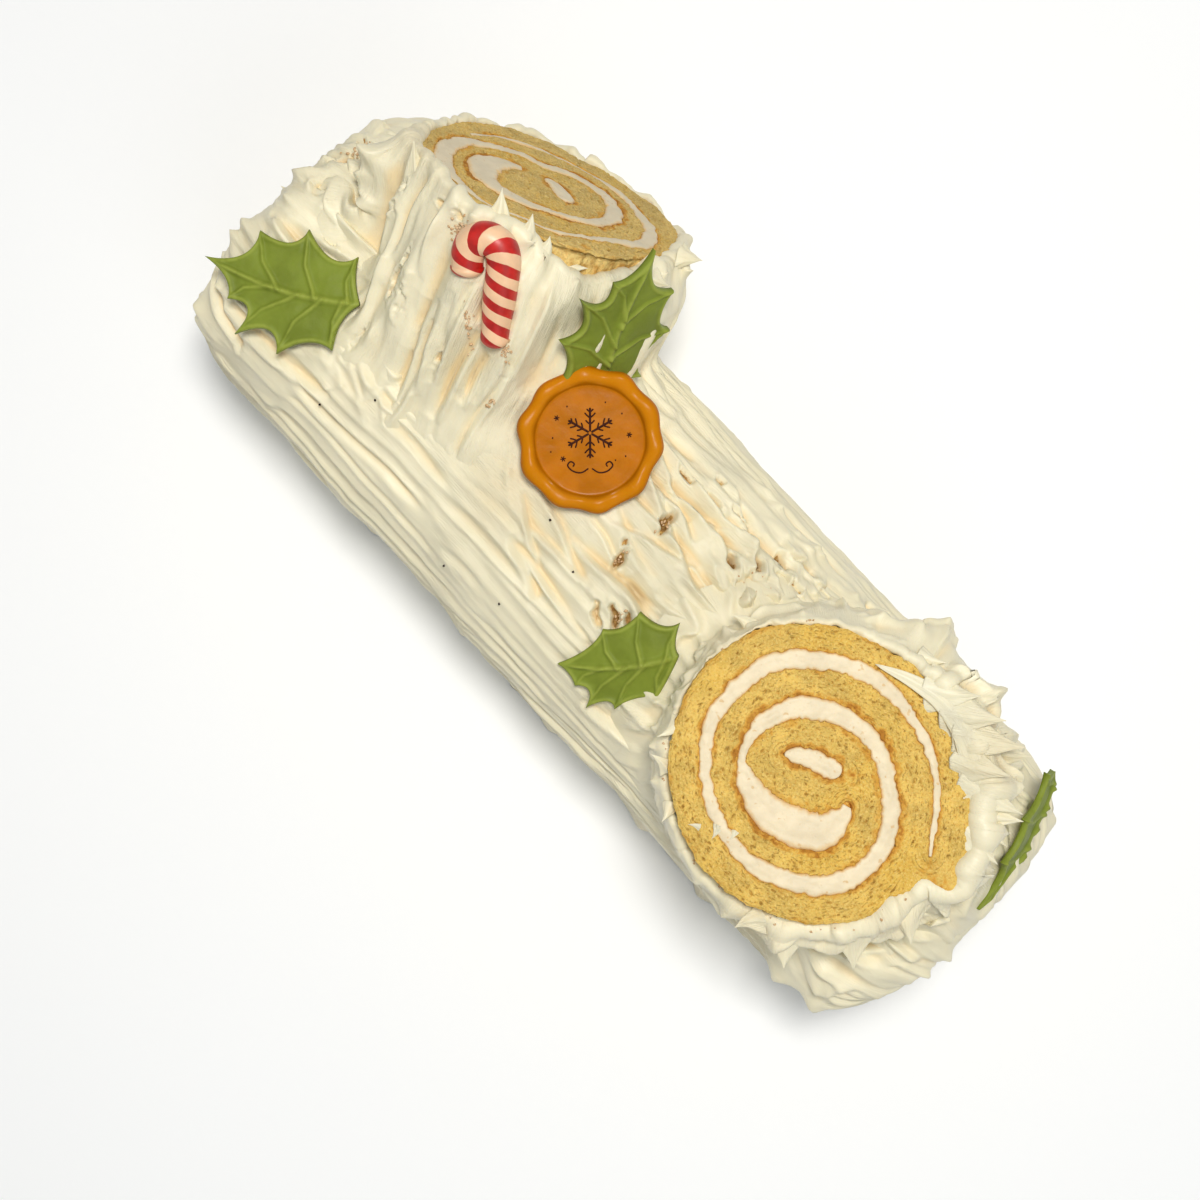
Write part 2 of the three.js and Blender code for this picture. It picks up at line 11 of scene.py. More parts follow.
import bpy
import numpy as np
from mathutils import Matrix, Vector

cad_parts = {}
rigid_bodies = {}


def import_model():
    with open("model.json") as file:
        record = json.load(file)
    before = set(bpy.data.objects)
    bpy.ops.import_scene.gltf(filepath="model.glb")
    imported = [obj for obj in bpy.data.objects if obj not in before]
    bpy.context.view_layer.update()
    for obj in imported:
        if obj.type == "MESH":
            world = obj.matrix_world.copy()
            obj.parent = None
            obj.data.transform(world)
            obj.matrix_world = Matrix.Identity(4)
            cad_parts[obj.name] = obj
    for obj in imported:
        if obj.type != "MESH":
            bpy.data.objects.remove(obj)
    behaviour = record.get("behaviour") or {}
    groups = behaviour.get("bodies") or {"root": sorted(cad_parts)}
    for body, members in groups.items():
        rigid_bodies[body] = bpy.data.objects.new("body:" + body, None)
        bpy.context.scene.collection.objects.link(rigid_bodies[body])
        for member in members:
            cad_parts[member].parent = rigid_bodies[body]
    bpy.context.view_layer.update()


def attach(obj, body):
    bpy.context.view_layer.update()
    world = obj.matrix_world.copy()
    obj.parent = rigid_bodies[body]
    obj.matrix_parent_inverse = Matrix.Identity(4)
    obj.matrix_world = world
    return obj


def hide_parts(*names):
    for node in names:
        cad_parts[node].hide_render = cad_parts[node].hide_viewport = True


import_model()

bl_info = {
    "name": "Yule Log Cake",
    "version": (1, 0, 0),
    "blender": (4, 5, 0),
    "location": "View3D > Sidebar > Yule Log",
    "description": "Builds a frosted yule log with its cut slices and decorations round a packed model",
    "category": "Object",
}

MM = 0.001

# ------------------------------------------------------------------ sizes of the cake, in mm

LOG_ENDS = (-156.5, 149.5)
LOG_HALF_WIDTH = 52.5
LOG_HEIGHT = 99.0
LOG_WAIST = LOG_HEIGHT / 2
LOG_SHOULDER_POWER = 2.3
LOG_END_ROUND = 15.0
LOG_TAPER = 7.0
LOG_TAPER_LENGTH = 30.0
LOG_FOOT_FLARE = (2.6, 1.3)

# Each cut face: its centre, its own x and y axes, the roll's radius, and how deep the piece goes.
CROWN = {
    "centre": (79.3, -1.7, 122.0),
    "x": (0.686, 0.728, 0.0),
    "y": (-0.728, 0.686, 0.0),
    "radius": 43.4,
    "depth": 22.5,
}
BRANCH = {
    "centre": (-99.3, 60.6, 92.4),
    "x": (0.947, 0.321, 0.0),
    "y": (-0.152, 0.448, -0.881),
    "radius": 42.0,
    "depth": 30.0,
}

# Edges of the cut faces, (degrees, share of the radius).
CROWN_EDGE = (
    (-49, 0.96), (-41, 1.17), (-30, 1.11), (-12, 1.04), (10, 0.99), (35, 0.96), (60, 0.93), (90, 0.99),
    (118, 1.05), (142, 1.05), (165, 1.02), (190, 1), (218, 1), (250, 0.98), (280, 0.99), (303, 0.95),
)
BRANCH_EDGE = (
    (-164, 1.01), (-149, 1.08), (-131, 1.05), (-118, 1.04), (-105, 1.03), (-97, 1), (-86, 0.95),
    (-78, 0.96), (-65, 0.94), (-54, 0.91), (-28, 0.87), (-10, 0.9), (7, 0.94), (33, 1.04), (47, 1.03),
    (61, 1.01), (80, 0.99), (95, 0.95), (109, 1.02), (126, 1.01), (146, 0.99), (171, 0.95),
)

# Centre lines of the filling, (degrees, share of the radius, half thickness as a share of the radius).
CROWN_SPIRAL = (
    (-37, 0.89, 0.014), (-7, 0.76, 0.027), (24, 0.71, 0.034), (57, 0.717, 0.055), (88, 0.75, 0.06),
    (117, 0.808, 0.062), (149, 0.806, 0.052), (176, 0.772, 0.04), (207, 0.75, 0.047), (236, 0.742, 0.056),
    (268, 0.727, 0.07), (296, 0.675, 0.067), (323, 0.558, 0.06), (352, 0.445, 0.055), (388, 0.405, 0.058),
    (432, 0.408, 0.066), (470, 0.471, 0.074), (502, 0.525, 0.052), (526, 0.536, 0.026), (545, 0.49, 0.07),
    (580, 0.42, 0.12), (625, 0.369, 0.125), (653, 0.308, 0.07), (669, 0.268, 0.03),
)
BRANCH_SPIRAL = (
    (161, 0.798, 0.016), (139, 0.779, 0.017), (119, 0.769, 0.018), (102, 0.727, 0.019), (85, 0.732, 0.022),
    (70, 0.743, 0.03), (56, 0.748, 0.036), (36, 0.731, 0.044), (18, 0.764, 0.052), (-7, 0.753, 0.06),
    (-28, 0.668, 0.045), (-54, 0.674, 0.03), (-75, 0.765, 0.019), (-93, 0.816, 0.018), (-107, 0.928, 0.024),
    (-122, 0.931, 0.04), (-141, 0.902, 0.066), (-164, 0.828, 0.07), (-185, 0.732, 0.06),
    (-203, 0.626, 0.05), (-224, 0.533, 0.045), (-245, 0.452, 0.042), (-273, 0.519, 0.048),
    (-307, 0.535, 0.056), (-342, 0.47, 0.068), (-382, 0.413, 0.05), (-424, 0.401, 0.03), (-464, 0.52, 0.06),
    (-490, 0.608, 0.098), (-516, 0.55, 0.12), (-542, 0.436, 0.08), (-560, 0.326, 0.03),
)
CROWN_HEART = {"at": (-0.066, 0.066), "half": (0.235, 0.068), "tilt": -21}
BRANCH_HEART = {"at": (-0.002, 0.049), "half": (0.21, 0.075), "tilt": -47}

# Frosting collars: (radius, distance behind the cut face) from the root to the lip.
CROWN_COLLAR = ((44, 44), (49.5, 33), (51.3, 21), (50, 10), (48.4, 3))
BRANCH_COLLAR = ((37, 76), (44.5, 56), (47.6, 34), (48.2, 18), (47.6, 8), (47.0, 2))

# The left flank along the log, (x, how far it stands in), and marks in the frosting by their place on top:
# holes that show the cake (x, y, degrees, length, width, how bare), folds (x, y, degrees, length, width, depth,
# bend), and peaks at the +X border (length along the log, y, reach, height, lean along and round).
LEFT_FLANK = (
    (-157, 3.5), (-126, 4), (-108, 5), (-90, 2), (-78, 0), (-66, 3.5), (-48, 4), (-36, 3.5), (-24, -1), (-6, 1),
    (12, -1), (30, -1), (48, 2.5), (66, -1), (84, -3), (96, -2.5), (114, 0), (150, 2),
)
TEARS = (
    (-3.7, 17.0, 97, 7.4, 2.6, 1.0), (-5.2, -1.1, 92, 7.2, 2.5, 1.0), (-8.0, 3.6, 110, 2.4, 1.4, 1.0),
    (6.1, -14.3, -40, 7, 2.2, 0.9), (9.5, -12.2, -44, 5.5, 1.6, 0.8), (2.0, -17.4, -34, 8, 2.2, 0.4),
    (17.9, 23.5, -42, 4.8, 2.6, 1.0), (23.5, 28.6, -38, 4.2, 2.3, 1.0), (25.5, 19.0, -46, 5.2, 2.8, 1.0),
    (32.0, 30.7, -40, 4.0, 2.2, 1.0), (36.6, 31.2, -40, 4.0, 2.3, 1.0), (35.0, 20.8, -46, 4.6, 2.5, 1.0),
    (28.6, 35.0, -30, 5.6, 2.0, 0.9), (36.0, 38.6, -24, 4.2, 1.8, 0.8), (44.0, 26.0, -46, 3.6, 2.0, 0.9),
    (-9.9, 31.8, -4, 6.0, 1.5, 0.75), (0.9, 32.8, -2, 7.0, 1.6, 0.7), (10.0, 35.5, 0, 6.5, 1.3, 0.6),
    (-2.0, 38.5, -2, 3.0, 1.2, 0.8), (44.5, 36.6, -30, 3.0, 1.6, 0.9), (58.0, 44.4, -40, 4.4, 2.4, 0.9),
    (66.0, 47.0, -46, 4.5, 1.6, 0.6), (76.0, 49.0, -34, 3.8, 2.2, 0.9), (88.0, 50.4, -40, 4.0, 1.7, 0.8),
    (98.0, 51.4, -34, 3.0, 1.6, 0.8), (-149.0, 23.0, 40, 8.0, 2.8, 0.9), (-145.0, 28.6, 64, 8.0, 2.8, 0.95),
    (-141.0, 33.2, 30, 6.0, 2.2, 0.8), (-133.4, 1.3, 0, 5.0, 1.0, 0.25), (-146.0, 12.0, 12, 6.0, 1.1, 0.25),
)
CREASES = (
    (-12, 24, -4, 26, 1.0, 2.0, 0.0), (4, 27, -2, 34, 0.9, 1.9, 0.05), (-2, 10, 12, 30, 0.8, 1.2, 0.2),
    (14, 14, -6, 32, 0.9, 1.5, -0.1), (6, -6, -14, 26, 0.8, 1.3, 0.2), (-22, -8, -26, 34, 1.0, 1.6, 0.3),
    (-12, -22, -10, 36, 1.0, 1.8, 0.1), (20, 2, 16, 22, 0.9, 1.4, -0.3), (24, -6, 24, 18, 0.8, 1.5, -0.2),
    (-30, -14, -34, 24, 0.9, 1.4, 0.2), (-6, 33, -4, 40, 1.0, 1.8, 0.0), (22, 34, 2, 30, 0.8, 1.5, 0.1),
    (-132, 10, -4, 26, 1.0, 1.7, 0.1), (-140, -6, 6, 24, 0.9, 1.5, -0.1), (-128, 22, 14, 22, 0.8, 1.4, 0.2),
    (-124, -2, 0, 18, 1.0, 1.4, 0.0), (126, -30, 40, 22, 1.1, 1.8, 0.3), (132, 10, -20, 20, 1.1, 1.8, -0.2),
)
END_PEAKS = (
    (136, -49, 3.4, 5.0, (0.5, -3.0)), (131, -44, 3.8, 4.6, (0.5, -1.5)), (143, -38, 3.8, 2.6, (1.0, -1.0)),
    (148, -25, 3.4, 3.0, (1.5, 1.0)), (150, -14, 3.4, 3.4, (2.0, -1.0)), (149, 0, 2.6, 2.0, (2.0, 0.5)),
    (149, 14, 2.6, 1.6, (1.0, -1.0)), (148, 29, 2.6, 1.6, (1.0, 2.0)), (143, 46, 3.0, 3.4, (2.0, 3.0)),
    (126, -38, 4.4, 4.0, (1.0, -1.5)), (137, -12, 4.6, 3.6, (2.0, 0.0)), (134, 6, 4.0, 3.4, (1.5, 1.0)),
    (122, -50, 3.4, 4.6, (0.5, -3.0)),
)
# ------------------------------------------------------------------ settings


def colour_field(name, description, default):
    return bpy.props.FloatVectorProperty(
        name=name, description=description, default=default, subtype="COLOR", size=3, min=0.0, max=1.0)


def length_field(name, description, default):
    return bpy.props.FloatProperty(name=name, description=description, default=default, min=0.0, unit="LENGTH")


class FrostingSettings(bpy.types.PropertyGroup):
    """How the buttercream is spread."""

    grid: bpy.props.FloatProperty(
        name="Grid step", description="Distance between the points of the frosting's surface, in mm",
        default=0.62, min=0.3, max=3.0, precision=2)
    depth: bpy.props.FloatProperty(
        name="Stroke depth", description="How deep the spatula's marks are, as a share of the usual depth",
        default=1.0, min=0.0, max=2.0, subtype="FACTOR")
    seed: bpy.props.IntProperty(name="Seed", description="Which of the many possible spreads is made", default=11)
    colour: colour_field("Colour", "Colour of a thick layer of buttercream", (0.825, 0.755, 0.54))
    # the thin colour is also the base of the painted shade in the frosting's creases
    thin_and_crease_shade_colour: colour_field("Thin colour", "Colour where it is thin over the sponge", (0.85, 0.65, 0.35))


class RollSettings(bpy.types.PropertyGroup):
    """The two cut pieces of Swiss roll."""

    sponge_colour: colour_field("Sponge", "Colour of the crown slice's crumb", (0.77, 0.515, 0.125))
    branch_colour: colour_field("Branch sponge", "Colour of the branch's paler crumb", (0.69, 0.485, 0.155))
    crust_colour: colour_field("Crust", "Colour of the browned skin along the filling", (0.46, 0.175, 0.022))
    filling_colour: colour_field("Filling", "Colour of the cream in the spiral", (0.77, 0.65, 0.44))
    pores: bpy.props.IntProperty(
        name="Pores", description="How many large pores the cut crumb shows", default=1300, min=0, max=2000)


class DecorSettings(bpy.types.PropertyGroup):
    """The cane, the seal and the leaves."""

    cane_radius: length_field("Cane radius", "Radius of the sugar cane's rod", 4.9 * MM)
    stripe_pitch: length_field("Stripe pitch", "Distance along the cane between its red stripes", 6.0 * MM)
    cane_red: colour_field("Stripe", "Colour of the cane's stripes", (0.46, 0.010, 0.006))
    cane_cream: colour_field("Cane body", "Colour of the cane between its stripes", (0.86, 0.55, 0.33))
    seal_colour: colour_field("Seal", "Colour of the seal", (0.46, 0.142, 0.001))
    ink_colour: colour_field("Print", "Colour of the ornament printed on the seal", (0.035, 0.008, 0.004))
    leaf_colour: colour_field("Leaf", "Colour of the holly leaves", (0.185, 0.232, 0.026))


class StageSettings(bpy.types.PropertyGroup):
    """Camera, light and floor."""

    camera_height: length_field("Camera height", "Height of the camera over the floor", 0.7)
    frame_width: length_field("Frame width", "Width of floor that the camera sees", 0.4152)
    light: bpy.props.FloatProperty(
        name="Light", description="Strength of the lamps over the cake", default=1.0, min=0.0, max=10.0)
    floor_colour: colour_field("Floor", "Colour of the floor", (0.99, 0.99, 0.99))


# ------------------------------------------------------------------ numbers


def ease(value):
    """Rises smoothly from 0 to 1 as value goes from 0 to 1: 3v^2 - 2v^3, held at both ends."""
    v = np.clip(value, 0.0, 1.0)
    return v * v * (3.0 - 2.0 * v)


def scatter(i, j, seed):
    """A fixed random number from 0 to 1 for each whole-number place: the fraction of a large sine."""
    v = np.sin(i * 127.1 + j * 311.7 + seed * 74.7 + 0.5) * 43758.5453
    return v - np.floor(v)


def noise(x, y, seed=0.0):
    """Smooth noise from -1 to 1: random numbers at whole-number places, eased between the four nearest."""
    i, j = np.floor(x), np.floor(y)
    u, v = ease(x - i), ease(y - j)
    low = scatter(i, j, seed) * (1 - u) + scatter(i + 1, j, seed) * u
    high = scatter(i, j + 1, seed) * (1 - u) + scatter(i + 1, j + 1, seed) * u
    return 2.0 * (low * (1 - v) + high * v) - 1.0


def around(table, degrees):
    """The value of a closed table of (degrees, value) at each angle, eased between its entries."""
    first = table[0][0]
    angles = np.array([row[0] for row in table] + [first + 360.0])
    values = np.array([row[1] for row in table] + [table[0][1]], dtype=float)
    at = first + np.mod(degrees - first, 360.0)
    k = np.clip(np.searchsorted(angles, at, side="right") - 1, 0, len(table) - 1)
    share = ease((at - angles[k]) / (angles[k + 1] - angles[k]))
    return values[k] * (1 - share) + values[k + 1] * share


def curve_through(knots, count, measured=3):
    """Points at even steps along a smooth curve through the knots: a Catmull-Rom curve, sampled finely and then
    read off at equal lengths, measured over its first two or three coordinates."""
    knots = np.asarray(knots, dtype=float)
    padded = np.vstack([2 * knots[0] - knots[1], knots, 2 * knots[-1] - knots[-2]])
    t = np.linspace(0, len(knots) - 1, 40 * len(knots))
    k = np.minimum(t.astype(int), len(knots) - 2)
    f = (t - k)[:, None]
    p0, p1, p2, p3 = (padded[k + n] for n in range(4))
    bend = (2 * p0 - 5 * p1 + 4 * p2 - p3) * f**2 + (3 * p1 - p0 - 3 * p2 + p3) * f**3
    fine = 0.5 * (2 * p1 + (p2 - p0) * f + bend)
    step = np.linalg.norm(np.diff(fine[:, :measured], axis=0), axis=1)
    length = np.concatenate([[0.0], np.cumsum(step)])
    even = np.linspace(0, length[-1], count)
    return np.stack([np.interp(even, length, fine[:, c]) for c in range(fine.shape[1])], axis=1)


def unit(vectors):
    """Each vector over its own length."""
    return vectors / np.maximum(np.linalg.norm(vectors, axis=-1, keepdims=True), 1e-9)


def heading(degrees):
    """The flat unit vector at an angle: its cosine and its sine."""
    return np.array([math.cos(math.radians(degrees)), math.sin(math.radians(degrees))])


def axes_of(face):
    """Origin and the x, y and outward directions of a cut face, as unit vectors."""
    x = unit(np.array(face["x"]))
    out = unit(np.cross(x, np.array(face["y"])))
    return np.array(face["centre"]), x, np.cross(out, x), out


def in_frame(face, x, y, height):
    """Points of a cut face's own frame in the cake's frame: origin + x along its x axis + y along its y axis +
    height along its outward direction."""
    origin, ax, ay, out = axes_of(face)
    return origin + x[..., None] * ax + y[..., None] * ay + height[..., None] * out


def round_face(face, reach, turn, height):
    """Points round the middle of a cut face: x = reach * cos(turn) and y = reach * sin(turn) of its own frame."""
    return in_frame(face, reach * np.cos(turn), reach * np.sin(turn), height)


# ------------------------------------------------------------------ meshes


def grid_faces(rows, columns, cyclic):
    """Quads between neighbouring rows and columns of a grid; a cyclic grid also joins its last column to its
    first."""
    across = columns if cyclic else columns - 1
    i, j = np.meshgrid(np.arange(rows - 1), np.arange(across), indexing="ij")
    right = (j + 1) % columns
    quads = np.stack([i * columns + j, i * columns + right, (i + 1) * columns + right, (i + 1) * columns + j], -1)
    return quads.reshape(-1, 4)


def fan_faces(ring, centre, flip):
    """Triangles from each edge of a closed ring of points to a centre point."""
    after = np.roll(ring, -1)
    pair = (after, ring) if flip else (ring, after)
    return np.stack([pair[0], pair[1], np.full_like(ring, centre)], axis=-1)


def closed_tube(points):
    """A cyclic grid of points closed at both ends by a fan to the middle of its end rows. Gives the points with
    the two middles added, and its quads and triangles, turned so that they face away from the inside."""
    rows, columns = points.shape[:2]
    flat = points.reshape(-1, 3)
    total = len(flat)
    flat = np.vstack([flat, points[0].mean(axis=0), points[-1].mean(axis=0)])
    quads = grid_faces(rows, columns, True)
    first = np.arange(columns)
    triangles = np.vstack([
        fan_faces(first, total, True),
        fan_faces(first + (rows - 1) * columns, total + 1, False),
    ])
    if enclosed(flat, quads, triangles) < 0:
        quads, triangles = quads[:, ::-1], triangles[:, ::-1]
    return flat, quads, triangles


def with_ends(grid):
    """A value at each point of a closed tube: those of its grid, and the means of its end rows."""
    return np.append(grid, [grid[0].mean(), grid[-1].mean()])


def enclosed(points, quads, triangles):
    """Volume inside closed faces, negative when they face inwards: the sum of the pyramids from the origin."""
    tri = np.vstack([quads[:, [0, 1, 2]], quads[:, [0, 2, 3]], triangles])
    a, b, c = (points[tri[:, k]] for k in range(3))
    return float(np.einsum("ij,ij->", a, np.cross(b, c))) / 6.0


class Heap:
    """Several closed shapes gathered into one mesh."""

    def __init__(self):
        self.points, self.quads, self.triangles, self.count = [], [], [], 0
        self.values = {}

    def add(self, points, quads, triangles, **values):
        self.points.append(points)
        self.quads.append(quads + self.count)
        self.triangles.append(triangles + self.count)
        self.count += len(points)
        for name, value in values.items():
            spread = np.broadcast_to(np.asarray(value, dtype=float), (len(points),))
            self.values.setdefault(name, []).append(spread)

    def made(self):
        values = {name: np.concatenate(parts) for name, parts in self.values.items()}
        return np.vstack(self.points), np.vstack(self.quads), np.vstack(self.triangles), values


def new_piece(name, points, quads, triangles, material, slot, replaces=(), values=None, normals=None):
    """A mesh object from points in mm and its faces, smooth shaded, riding on the cake and standing for the
    given nodes. Values are numbers kept at each point for the material to read."""
    mesh = bpy.data.meshes.new(name)
    mesh.vertices.add(len(points))
    mesh.vertices.foreach_set("co", (np.asarray(points, dtype=np.float64) * MM).astype(np.float32).ravel())
    quads = np.asarray(quads, dtype=np.int32).reshape(-1, 4)
    triangles = np.asarray(triangles, dtype=np.int32).reshape(-1, 3)
    mesh.loops.add(quads.size + triangles.size)
    mesh.loops.foreach_set("vertex_index", np.concatenate([quads.ravel(), triangles.ravel()]))
    mesh.polygons.add(len(quads) + len(triangles))
    starts = np.concatenate([4 * np.arange(len(quads)), quads.size + 3 * np.arange(len(triangles))])
    mesh.polygons.foreach_set("loop_start", starts.astype(np.int32))
    mesh.polygons.foreach_set("use_smooth", np.ones(len(starts), dtype=bool))
    for key, value in (values or {}).items():
        layer = mesh.attributes.new(key, "FLOAT", "POINT")
        layer.data.foreach_set("value", np.asarray(value, dtype=np.float32))
    mesh.update(calc_edges=True)
    if mesh.validate():
        raise RuntimeError(f"{name} has faces that don't fit together")
    if normals is not None:
        mesh.normals_split_custom_set_from_vertices(normals.astype(np.float32).tolist())
    mesh.materials.append(material)
    piece = bpy.data.objects.new(name, mesh)
    bpy.context.scene.collection.objects.link(piece)
    if replaces:
        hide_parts(*replaces)
    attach(piece, "root")
# ------------------------------------------------------------------ frosting

RELIEF = 1.12
FINE_HALF = 84.0
COARSE_STEP = 1.3
WALL_STROKES = 34
SWIRL_REACH = 4.5


def running_mean(grid, reach, axis, mode):
    """Mean of 2 * reach + 1 cells along an axis of a grid, which past its ends repeats (wrap) or stays (edge)."""
    wide = [(0, 0)] * grid.ndim
    wide[axis] = (reach + 1, reach)
    total = np.cumsum(np.pad(grid, wide, mode=mode), axis=axis)
    span, last = 2 * reach + 1, total.shape[axis]
    return (total.take(range(span, last), axis) - total.take(range(last - span), axis)) / span


def softened(grid, reach):
    """Mean of a grid over squares of cells. Its columns go right round."""
    return running_mean(running_mean(grid, reach, 0, "edge"), reach, 1, "wrap")


def strokes(draw, count, stroke, *ranges, **named):
    """One kind of stroke made many times, each with numbers drawn from its ranges, (lowest, highest). A list
    holds the two ranges of a place or a lean, and a lone number stays as it is."""
    def pick(value):
        if isinstance(value, list):
            return [pick(part) for part in value]
        return value[0] + (value[1] - value[0]) * draw.random() if isinstance(value, tuple) else value
    for _ in range(count):
        stroke(*[pick(value) for value in ranges], **{name: pick(value) for name, value in named.items()})


class Spread:
    """A skin of frosting over a grid of places, given by two lengths in mm, p and q, that run over it. It keeps
    the frosting's height over the cake, how far it leans along p and q, and how bare the cake shows."""

    def __init__(self, p, q, seed):
        self.p, self.q, self.seed = p.ravel().copy(), q.ravel().copy(), float(seed)
        self.height = 0.7 * noise(self.p / 27, self.q / 21, seed) + 0.3 * noise(self.p / 9, self.q / 7, seed + 1)
        self.lean_p, self.lean_q, self.bare = (np.zeros_like(self.p) for _ in range(3))

    def turned(self, at, angle):
        """Lengths along and across an angle in degrees from a place, and the angle's cosine and sine."""
        c, s = heading(angle)
        dp, dq = self.p - at[0], self.q - at[1]
        return c * dp + s * dq, c * dq - s * dp, c, s

    def drag(self, at, angle, length, half, bend=0.0, pitch=4.0, depth=1.0, level=0.0, lip=0.8, dome=0.0, fade=0.0):
        """One stroke of the spatula, which starts at a place, runs at an angle for a length and bends sideways by
        a share of it. Over a band of that half width the height becomes the stroke's level with furrows,
        1 - |2f|^2.2 deep across each with a thin crest between two, or the same turned over where dome is 1, each
        with its own depth. A rim is pushed up on both sides and a lip where it stops, and fade is the length over
        which it runs out."""
        self.seed += 1.0
        seed = self.seed
        t, n, c, s = self.turned(at, angle)
        n = n - bend * t * np.abs(t) / length
        near = (t > -4) & (t < length + 5) & (np.abs(n) < half + 6)
        if not near.any():
            return
        t, n = t[near], n[near]
        n = n + 1.5 * noise(t / 23, n / 50, seed) + 0.15 * noise(t / 8, n / 14, seed + 0.3)
        band = n / pitch + scatter(seed, 1, 0) + 0.28 * noise(n / pitch / 1.6, t / 60, seed + 0.5)
        k = np.floor(band + 0.5)
        strength = depth * (0.3 + 1.1 * scatter(k, seed, 1))
        hollow = 1 - np.minimum(1.0, np.abs(2 * (band - k))) ** 2.2
        scoop = (strength * hollow - 0.5 * depth) * (2 * dome - 1)
        fringe = noise(n / pitch / 0.8, t / 40, seed + 0.9)
        start = min(0.12 * length, 2.2 + 0.4 * fade) * (1 - fringe)
        stop = length - start + 0.3 * noise(n / 2.2, t / 30, seed)
        taper = half * np.sqrt(ease((t + 4) / (0.3 * length + 4))) * (1 - 0.25 * ease((t - 0.6 * length) / length))
        soft = min(3.2, 0.5 * half)
        inside = ease((taper - np.abs(n)) / soft) * ease((t - start + 3) / (8 + fade))
        inside = inside * ease((stop - t) / (soft + fade))
        inside = 0.8 * inside + 0.2 * inside**3
        grain = 0.13 * noise(t / 18, n / 1.1, seed + 0.7) + 0.2 * noise(t / 8, n / 9, seed + 0.9)
        end = lip * np.exp(-(((t - stop + 2.6) / 2.4) ** 2)) * (0.6 + 0.5 * noise(n / 3, t / 50, seed + 3))
        target = level + scoop + grain + end - 0.5 * lip * ease(t / length)
        rim = np.exp(-(((np.abs(n) - taper + 0.4 * soft) / 1.5) ** 2)) * ease(t / 9) * ease((stop + 1 - t) / 4)
        rim = rim * lip * np.maximum(0.0, 0.45 + 0.8 * noise(t / 11, np.sign(n), seed + 0.2))
        self.height[near] = self.height[near] * (1 - inside) + target * inside + rim
        for lean, way in ((self.lean_p, c), (self.lean_q, s)):
            lean[near] = lean[near] * (1 - inside) + (end * way) * inside * 0.6

    def pull(self, at, reach, height, lean=(0.0, 0.0), squash=1.0, angle=0.0):
        """A peak where the spatula was pulled away: height falls off as exp(-d / reach) round its foot, and its
        top leans. Squash makes its foot longer along the angle than across it."""
        t, n, _, _ = self.turned(at, angle)
        d = np.hypot(t / squash, n)
        near = d < 7 * reach
        rise = np.exp(-np.sqrt(d[near] ** 2 + 0.05) / reach)
        self.height[near] += height * rise
        self.lean_p[near] += lean[0] * rise**1.5
        self.lean_q[near] += lean[1] * rise**1.5

    def dab(self, at, reach, height, squash=1.0, angle=0.0):
        """A soft mound, or a hollow if height is negative: height * exp(-d^2 / reach^2)."""
        t, n, _, _ = self.turned(at, angle)
        d = np.hypot(t / squash, n) / reach
        near = d < 3
        self.height[near] += height * np.exp(-(d[near] ** 2))

    def crease(self, at, angle, length, width, depth, bend=0.0):
        """A fold between two tongues of frosting: a narrow groove with one soft and one steep side, which starts
        and ends in a point."""
        self.seed += 1.0
        t, n, _, _ = self.turned(at, angle)
        n = n - bend * t * np.abs(t) / length + 0.5 * noise(t / 11, 0 * t, self.seed)
        near = (np.abs(t) < length / 2) & (np.abs(n) < 7 * width)
        t, n = t[near], n[near]
        run = np.sqrt(np.clip(1 - (2 * t / length) ** 2, 0, 1))
        soft = np.where(n > 0, np.exp(-n / (2.4 * width)), np.exp(-((n / (0.9 * width)) ** 2)))
        swell = 0.45 * np.exp(-(((n + 1.7 * width) / (1.2 * width)) ** 2))
        self.height[near] += 1.45 * depth * run * (swell - soft)

    def tear(self, at, angle, length, width, depth, shows):
        """A torn place, long along its angle, with an uneven edge and a raised rim, where the cake shows."""
        self.seed += 1.0
        t, n, _, _ = self.turned(at, angle)
        t, n = t / length, n / width
        n = n + 0.35 * noise(t * 2.2, n * 0.4, self.seed)
        d = np.hypot(t, n) * 2 + 0.35 * noise((self.p - at[0]) / 1.1, (self.q - at[1]) / 1.1, self.seed)
        near = d < 2.6
        hole = ease((1.25 - d[near]) / 0.5)
        rim = np.exp(-(((d[near] - 1.5) / 0.35) ** 2))
        self.height[near] += 0.45 * rim * min(1.0, depth) - depth * hole
        self.bare[near] = np.maximum(self.bare[near], shows * ease((1.05 - d[near]) / 0.35))

    def lanes(self, draw, p, q, spacing, angle, length, half, **ranges):
        """Strokes laid side by side in lanes along p, each a little over the one before."""
        side = 0.3 * spacing
        for lane in draw.permutation(np.arange(*q, spacing)):
            at = p[0] - draw.uniform(0, 40)
            while at < p[1]:
                run = draw.uniform(*length)
                strokes(draw, 1, self.drag, [at, (lane - side, lane + side)], angle, run, half, **ranges)
                at += run * draw.uniform(0.7, 0.95)

    def raised(self, points, depth, side=1.0):
        """The grid of points moved out along its normals by the height, and along the grid by the lean. The
        columns go right round, and side is -1 where rows and columns turn so that the normals would look in.
        Gives the new points, and their normals."""
        shape = points.shape[:2]
        height = self.height.reshape(shape)
        height = (0.6 * height + 0.4 * softened(height, 1)) * depth * RELIEF
        # cavity: how far each place lies below its smoothed surroundings; the buttercream paints shade in creases
        # and hollows from it
        self.cavity = (softened(softened(height, 5), 5) - height).ravel()
        by_row = unit(np.gradient(points, axis=0))
        by_column = unit(np.roll(points, -1, axis=1) - np.roll(points, 1, axis=1))
        moved = points + unit(np.cross(by_row, by_column)) * side * height[..., None]
        moved += by_row * self.lean_p.reshape(shape)[..., None] + by_column * self.lean_q.reshape(shape)[..., None]
        columns = np.roll(moved, -1, axis=1) - np.roll(moved, 1, axis=1)
        return moved, unit(np.cross(np.gradient(moved, axis=0), columns)) * side


